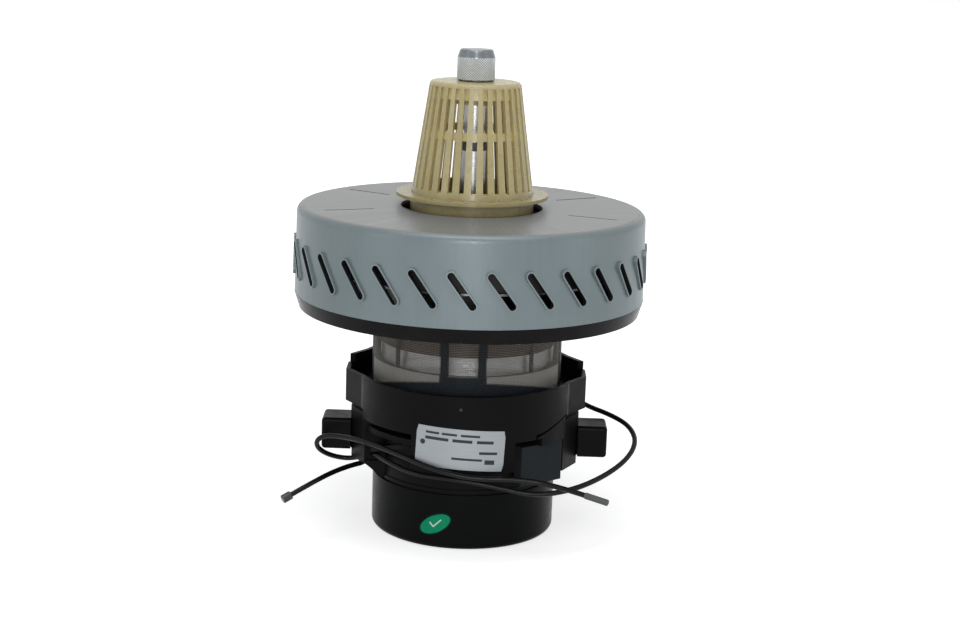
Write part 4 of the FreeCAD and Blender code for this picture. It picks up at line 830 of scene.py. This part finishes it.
def coil_spring(side):
    low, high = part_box("brush_spring_" + side)
    recipe = Recipe("coil_spring_" + side)
    length = recipe.number("Length", high[0] - low[0] - 2 * SPRING_WIRE)
    reach = recipe.number("Coil radius", (high[2] - low[2]) / 2 - SPRING_WIRE)
    start = recipe.number("Start", low[0] + SPRING_WIRE)
    level = recipe.number("Height", (low[2] + high[2]) / 2)
    turns = recipe.number("Turns", SPRING_TURNS)
    thickness = recipe.number("Wire radius", SPRING_WIRE)
    line = recipe.add("GeometryNodeCurveSpiral", Resolution=20, Rotations=turns, Start_Radius=reach,
                      End_Radius=reach, Height=length).outputs[0]
    section = recipe.add("GeometryNodeCurvePrimitiveCircle", Resolution=8, Radius=thickness).outputs[0]
    coil = recipe.add("GeometryNodeCurveToMesh", Curve=line, Profile_Curve=section, Fill_Caps=True).outputs[0]
    place = recipe.add("ShaderNodeCombineXYZ", X=start, Z=level).outputs[0]
    laid = recipe.add("GeometryNodeTransform", Geometry=coil, Translation=place,
                      Rotation=(0, math.pi / 2, 0)).outputs[0]
    return recipe.finish(laid, spring_wire.material)


for side, fixed_end in (("left", 0), ("right", 1)):
    spring = coil_spring(side)
    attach(spring, "motor_frame")
    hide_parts("brush_spring_" + side)
    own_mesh(spring)
    print(spring.name, len(spring.data.polygons), "faces")

# %% [markdown]
# The nut is knurled for fingers: two sets of slanted cuts leave rows of small diamond points. A grid of
# flat four-sided pyramids, every other row moved by half a pitch, is the same surface without the cuts.
# The recipe wraps the grid round the nut.

# %% Knurl
KNURL_COLUMNS = 44
KNURL_ROWS = 18
KNURL_HEIGHT = 0.00028
KNURL_RISE = 0.0108
PLAIN_FOOT = 0.0010

nut_low, nut_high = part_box("separator_nut")
NUT_RADIUS = nut_high[0]
KNURL_LOW = nut_low[2] + PLAIN_FOOT

knurl_aluminium = worked_metal("knurl_aluminium", (222, 226, 228), 0.34, (1, 1, 1), 0.004)
knurl_reach = knurl_aluminium.axes()[3]
# Painted shade: the valleys between the knurl's points are tinted darker.
valley_shade = knurl_aluminium.span(knurl_reach, NUT_RADIUS, NUT_RADIUS + 0.0002, 0.8, 0.0)
knurl_aluminium.tint(valley_shade, (110, 114, 117))


def knurl():
    recipe = Recipe("nut_knurl")
    calc = recipe.math
    radius = recipe.number("Radius", NUT_RADIUS)
    low = recipe.number("Low", KNURL_LOW)
    rise = recipe.number("Rise", KNURL_RISE)
    columns = recipe.number("Columns", KNURL_COLUMNS, whole=True)
    rows = recipe.number("Rows", KNURL_ROWS, whole=True)
    height = recipe.number("Point height", KNURL_HEIGHT)
    points = recipe.add("GeometryNodeMeshLine", Count=calc("MULTIPLY", columns, rows)).outputs[0]
    index = recipe.add("GeometryNodeInputIndex").outputs[0]
    row = calc("FLOOR", calc("DIVIDE", index, columns))
    column = calc("SUBTRACT", index, calc("MULTIPLY", row, columns))
    half_pitch = calc("MULTIPLY", calc("MODULO", row, 2.0), 0.5)
    turn = calc("DIVIDE", calc("MULTIPLY", calc("ADD", column, half_pitch), 2 * math.pi), columns)
    gaps = calc("SUBTRACT", rows, 1.0)
    level = calc("ADD", low, calc("MULTIPLY", rise, calc("DIVIDE", row, gaps)))
    place = recipe.add("ShaderNodeCombineXYZ", X=calc("MULTIPLY", radius, calc("COSINE", turn)),
                       Y=calc("MULTIPLY", radius, calc("SINE", turn)), Z=level).outputs[0]
    placed = recipe.add("GeometryNodeSetPosition", Geometry=points, Position=place).outputs[0]
    wide = calc("DIVIDE", calc("MULTIPLY", radius, math.pi), columns)
    point = recipe.add("GeometryNodeMeshCone", {"fill_type": "NONE"}, Vertices=4, Radius_Top=0.0,
                       Radius_Bottom=wide, Depth=height).outputs[0]
    tall = calc("DIVIDE", calc("DIVIDE", rise, gaps), wide)
    shape = recipe.add("ShaderNodeCombineXYZ", X=tall, Y=1.0, Z=1.0).outputs[0]
    squeezed = recipe.add("GeometryNodeTransform", Geometry=point, Scale=shape).outputs[0]
    facing = recipe.add("ShaderNodeCombineXYZ", X=0.0, Y=math.pi / 2, Z=turn).outputs[0]
    copies = recipe.add("GeometryNodeInstanceOnPoints", Points=placed, Instance=squeezed,
                        Rotation=facing).outputs[0]
    return recipe.finish(copies, knurl_aluminium.material)


nut_knurl = knurl()
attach(nut_knurl, "nut")
print("knurl points", len(nut_knurl.data.polygons) // 4)

# %% [markdown]
# A thin plate is glued to the collar's tongue, and a green oval to the cup. Both follow a round wall, so
# one helper bends a flat sheet of points onto a cylinder and gives it a thickness. Its inner and outer faces
# have the same points along the wall, and a border closes the edge.

# %% Things that lie on a round wall
# An ellipse's first and last row keep this share of its width, so that no face shrinks to a point.
BLUNT_TIP = 0.04


def on_wall(radius, along, z):
    """The point of a wall that lies along metres to the right of the front."""
    return (radius * math.sin(along / radius), -radius * math.cos(along / radius), z)


def plain_piece(name, mesh, material):
    """Ends a mesh under construction: its faces point outwards and it becomes an object."""
    bmesh.ops.recalc_face_normals(mesh, faces=mesh.faces)
    data = bpy.data.meshes.new(name)
    mesh.to_mesh(data)
    mesh.free()
    data.materials.append(material)
    piece = bpy.data.objects.new(name, data)
    scene.collection.objects.link(piece)
    return piece


def wrapped_sheet(name, outline_rows, radius, thickness, material):
    """Bends rows of (along, z) points onto a wall and gives them a thickness."""
    mesh = bmesh.new()
    layers = []
    for reach in (radius, radius + thickness):
        layers.append([[mesh.verts.new(on_wall(reach, a * reach / radius, z)) for a, z in row]
                       for row in outline_rows])
    rows, columns = len(outline_rows), len(outline_rows[0])
    for layer, flip in ((layers[0], False), (layers[1], True)):
        for i in range(rows - 1):
            for j in range(columns - 1):
                face = [layer[i][j], layer[i + 1][j], layer[i + 1][j + 1], layer[i][j + 1]]
                mesh.faces.new(face[::-1] if flip else face)
    border = [(0, j) for j in range(columns)] + [(i, columns - 1) for i in range(1, rows)]
    border += [(rows - 1, j) for j in range(columns - 2, -1, -1)] + [(i, 0) for i in range(rows - 2, 0, -1)]
    for (i, j), (k, m) in zip(border, border[1:] + border[:1]):
        mesh.faces.new([layers[0][i][j], layers[0][k][m], layers[1][k][m], layers[1][i][j]])
    sheet = plain_piece(name, mesh, material)
    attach(sheet, "motor_frame")


def turned_spot(centre, across, up, tilt):
    """The (along, z) of a spot on a sheet that is turned about its centre."""
    return (centre[0] + across * math.cos(tilt) - up * math.sin(tilt),
            centre[1] + across * math.sin(tilt) + up * math.cos(tilt))


def turned_patch(centre, half_width, half_height, tilt, columns, rows, corner=0.0):
    """Rows of (along, z) points that fill a tilted rectangle with cut corners."""
    spots = []
    for i in range(rows + 1):
        v = -1 + 2 * i / rows
        inset = corner if i in (0, rows) else 0.0
        spots.append([])
        for j in range(columns + 1):
            u = -1 + 2 * j / columns
            spots[-1].append(turned_spot(centre, u * (half_width - inset), v * half_height, tilt))
    return spots


def round_patch(centre, half_width, half_height, tilt, rows=12, columns=16):
    """Rows of (along, z) points that fill an ellipse."""
    spots = []
    for i in range(rows + 1):
        v = -math.cos(math.pi * i / rows)
        reach = max(math.sqrt(max(1 - v * v, 0)), BLUNT_TIP)
        spots.append([])
        for j in range(columns + 1):
            u = (-1 + 2 * j / columns) * reach
            spots[-1].append(turned_spot(centre, u * half_width, v * half_height, tilt))
    return spots


print("wall helpers ready")

# %% [markdown]
# The plate is brushed foil with a faint drift of tone, tilted by a few degrees as a hand put it on.
# Its print is a few plain bars and a dot. They are thin sheets of ink that stand a hair above the foil.

# %% Plate
TONGUE_RADIUS = 0.0600
PLATE_CENTRE = (-0.0016, 0.0586)
PLATE_HALF = (0.0236, 0.0108)
PLATE_TILT = math.radians(-2.9)
PLATE_LIFT, PLATE_THICKNESS = 0.00003, 0.00022
PRINT_LIFT, INK_THICKNESS = 0.00024, 0.00005
CORNER_CUT = 0.0008
DOT_PLACE, DOT_RADIUS = (-0.0200, 0.0020), 0.0014

plate_foil = Finish("plate_foil", (163, 168, 172), 0.38, 0.3)
brushing = plate_foil.spots(0.004, 3, stretch=(0.2, 0.2, 5))
plate_foil.tint(plate_foil.span(brushing, 0.35, 0.75, 0.0, 0.5), (150, 156, 161))
plate_foil.gloss(plate_foil.spots(0.003, 2), 0.32, 0.45)
plate_foil.relief(plate_foil.spots(0.006, 2), 0.00002)
plate_ink = moulded_black("plate_ink", (66, 68, 72), 0.5, 0.0006, 0.000004)
foil = turned_patch(PLATE_CENTRE, *PLATE_HALF, PLATE_TILT, 24, 6, CORNER_CUT)
wrapped_sheet("plate", foil, TONGUE_RADIUS + PLATE_LIFT, PLATE_THICKNESS,
              plate_foil.material)


def plate_spot(across, up):
    """A place on the tilted plate, as (along, z)."""
    return turned_spot(PLATE_CENTRE, across, up, PLATE_TILT)


# Each bar lies so far across and up from the plate's centre and has a half width and a half height.
BARS = [
    (-0.0125, 0.0046, 0.0062, 0.0008), (0.0010, 0.0046, 0.0052, 0.0008), (0.0130, 0.0046, 0.0044, 0.0008),
    (-0.0150, 0.0076, 0.0036, 0.0006), (-0.0060, 0.0076, 0.0040, 0.0006), (0.0050, 0.0076, 0.0050, 0.0006),
    (0.0150, -0.0012, 0.0048, 0.0007), (0.0040, -0.0050, 0.0080, 0.0006), (0.0160, -0.0060, 0.0026, 0.0012)]
for number, (across, up, *half_sizes) in enumerate(BARS):
    bar = turned_patch(plate_spot(across, up), *half_sizes, PLATE_TILT, 6, 1)
    wrapped_sheet(f"plate_bar_{number}", bar, TONGUE_RADIUS + PRINT_LIFT, INK_THICKNESS,
                  plate_ink.material)
dot = round_patch(plate_spot(*DOT_PLACE), DOT_RADIUS, DOT_RADIUS, 0)
wrapped_sheet("plate_dot", dot, TONGUE_RADIUS + PRINT_LIFT, INK_THICKNESS,
              plate_ink.material)
print("plate width", round(2 * PLATE_HALF[0], 4), "with", len(BARS), "bars")

# %% [markdown]
# Above the plate a small round pip stands on the collar, as a mould's ejector pin leaves it. It is a low disc
# on the same wall.

# %% Collar pip
PIP_CENTRE = (-0.0016, 0.0800)
PIP_RADIUS = 0.0009
PIP_LIFT, PIP_HEIGHT = 0.00002, 0.0003

pip_grey = moulded_black("pip_grey", (62, 62, 63), 0.5, 0.0006, 0.000004)
pip = round_patch(PIP_CENTRE, PIP_RADIUS, PIP_RADIUS, 0)
wrapped_sheet("collar_pip", pip, TONGUE_RADIUS + PIP_LIFT, PIP_HEIGHT,
              pip_grey.material)
print("pip height", PIP_HEIGHT)

# %% [markdown]
# The long lead leaves the frame through a window in the left gusset. A flat rubber seal closes the window
# round the lead. It is a plate whose outline is square and whose hole is round, so its faces run from a
# square ring of points to a round one with as many points.

# %% Window seal
SEAL_LEFT, SEAL_RIGHT = -0.0533, -0.0463
SEAL_LOW, SEAL_HIGH = 0.0401, 0.0475
SEAL_FRONT, SEAL_BACK = -0.0224, -0.0220
SEAL_HOLE = (-0.04939, 0.04319)
SEAL_HOLE_RADIUS = 0.00142
SEAL_POINTS = 32


def window_seal():
    mesh = bmesh.new()
    middle = ((SEAL_LEFT + SEAL_RIGHT) / 2, (SEAL_LOW + SEAL_HIGH) / 2)
    half = ((SEAL_RIGHT - SEAL_LEFT) / 2, (SEAL_HIGH - SEAL_LOW) / 2)
    loops = []
    for y in (SEAL_FRONT, SEAL_BACK):
        square, hole = [], []
        for k in range(SEAL_POINTS):
            turn = 2 * math.pi * k / SEAL_POINTS
            across, up = math.cos(turn), math.sin(turn)
            reach = 1 / max(abs(across), abs(up))
            square.append(mesh.verts.new((middle[0] + half[0] * across * reach, y,
                                          middle[1] + half[1] * up * reach)))
            hole.append(mesh.verts.new((SEAL_HOLE[0] + SEAL_HOLE_RADIUS * across, y,
                                        SEAL_HOLE[1] + SEAL_HOLE_RADIUS * up)))
        loops.append((square, hole))
    (front_square, front_hole), (back_square, back_hole) = loops
    for first, second in ((front_square, front_hole), (front_hole, back_hole), (back_hole, back_square),
                          (back_square, front_square)):
        for k in range(SEAL_POINTS):
            after = (k + 1) % SEAL_POINTS
            mesh.faces.new([first[k], first[after], second[after], second[k]])
    return plain_piece("window_seal", mesh, grommet_rubber.material)


seal = window_seal()
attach(seal, "motor_frame")
print("seal faces", len(seal.data.polygons))

# %% [markdown]
# The green oval is a foil sticker pressed on after a test. It has a dark rim and a plain tick. The rim
# is a wider oval of darker foil under the green one, and the tick is two pale strokes on it.

# %% Green oval
CUP_RADIUS = 0.0500
OVAL_CENTRE = (-0.0138, 0.0137)
OVAL_HALF, RIM_HALF = (0.0090, 0.0045), (0.0098, 0.0052)
OVAL_TILT = math.radians(28)
# Each stroke of the tick lies so far from the oval's centre and has a half length and a lean in degrees.
TICK_STROKES = [(-0.0019, -0.0004, 0.0016, -50), (0.0012, 0.0006, 0.0030, 44)]
STROKE_HALF_WIDTH = 0.0004
# How far each layer of foil lies off the cup's wall, and how thick it is.
RIM_FOIL, OVAL_FOIL, TICK_FOIL = (0.00002, 0.00005), (0.00005, 0.0001), (0.00014, 0.00005)

oval_green = Finish("oval_green", (12, 142, 100), 0.4)
oval_green.set("Specular IOR Level", 0.1)
oval_green.tint(oval_green.span(oval_green.spots(0.002, 2), 0.4, 0.75, 0.0, 0.5), (28, 156, 112))
oval_green.relief(oval_green.spots(0.003, 2), 0.00002)
tick_pale = moulded_black("tick_pale", (196, 226, 210), 0.5, 0.0006, 0.000004)
oval_rim = moulded_black("oval_rim", (5, 42, 31), 0.4, 0.002, 0.00001)
for name, half_sizes, (lift, thickness), finish in (("green_oval_rim", RIM_HALF, RIM_FOIL, oval_rim),
                                                     ("green_oval", OVAL_HALF, OVAL_FOIL, oval_green)):
    wrapped_sheet(name, round_patch(OVAL_CENTRE, *half_sizes, OVAL_TILT), CUP_RADIUS + lift, thickness,
                  finish.material)
lift, thickness = TICK_FOIL
for number, (across, up, half_length, lean) in enumerate(TICK_STROKES):
    spot = (OVAL_CENTRE[0] + across, OVAL_CENTRE[1] + up)
    stroke = turned_patch(spot, half_length, STROKE_HALF_WIDTH, math.radians(lean), 6, 1)
    wrapped_sheet(f"oval_tick_{number}", stroke, CUP_RADIUS + lift, thickness,
                  tick_pale.material)
print("oval placed")
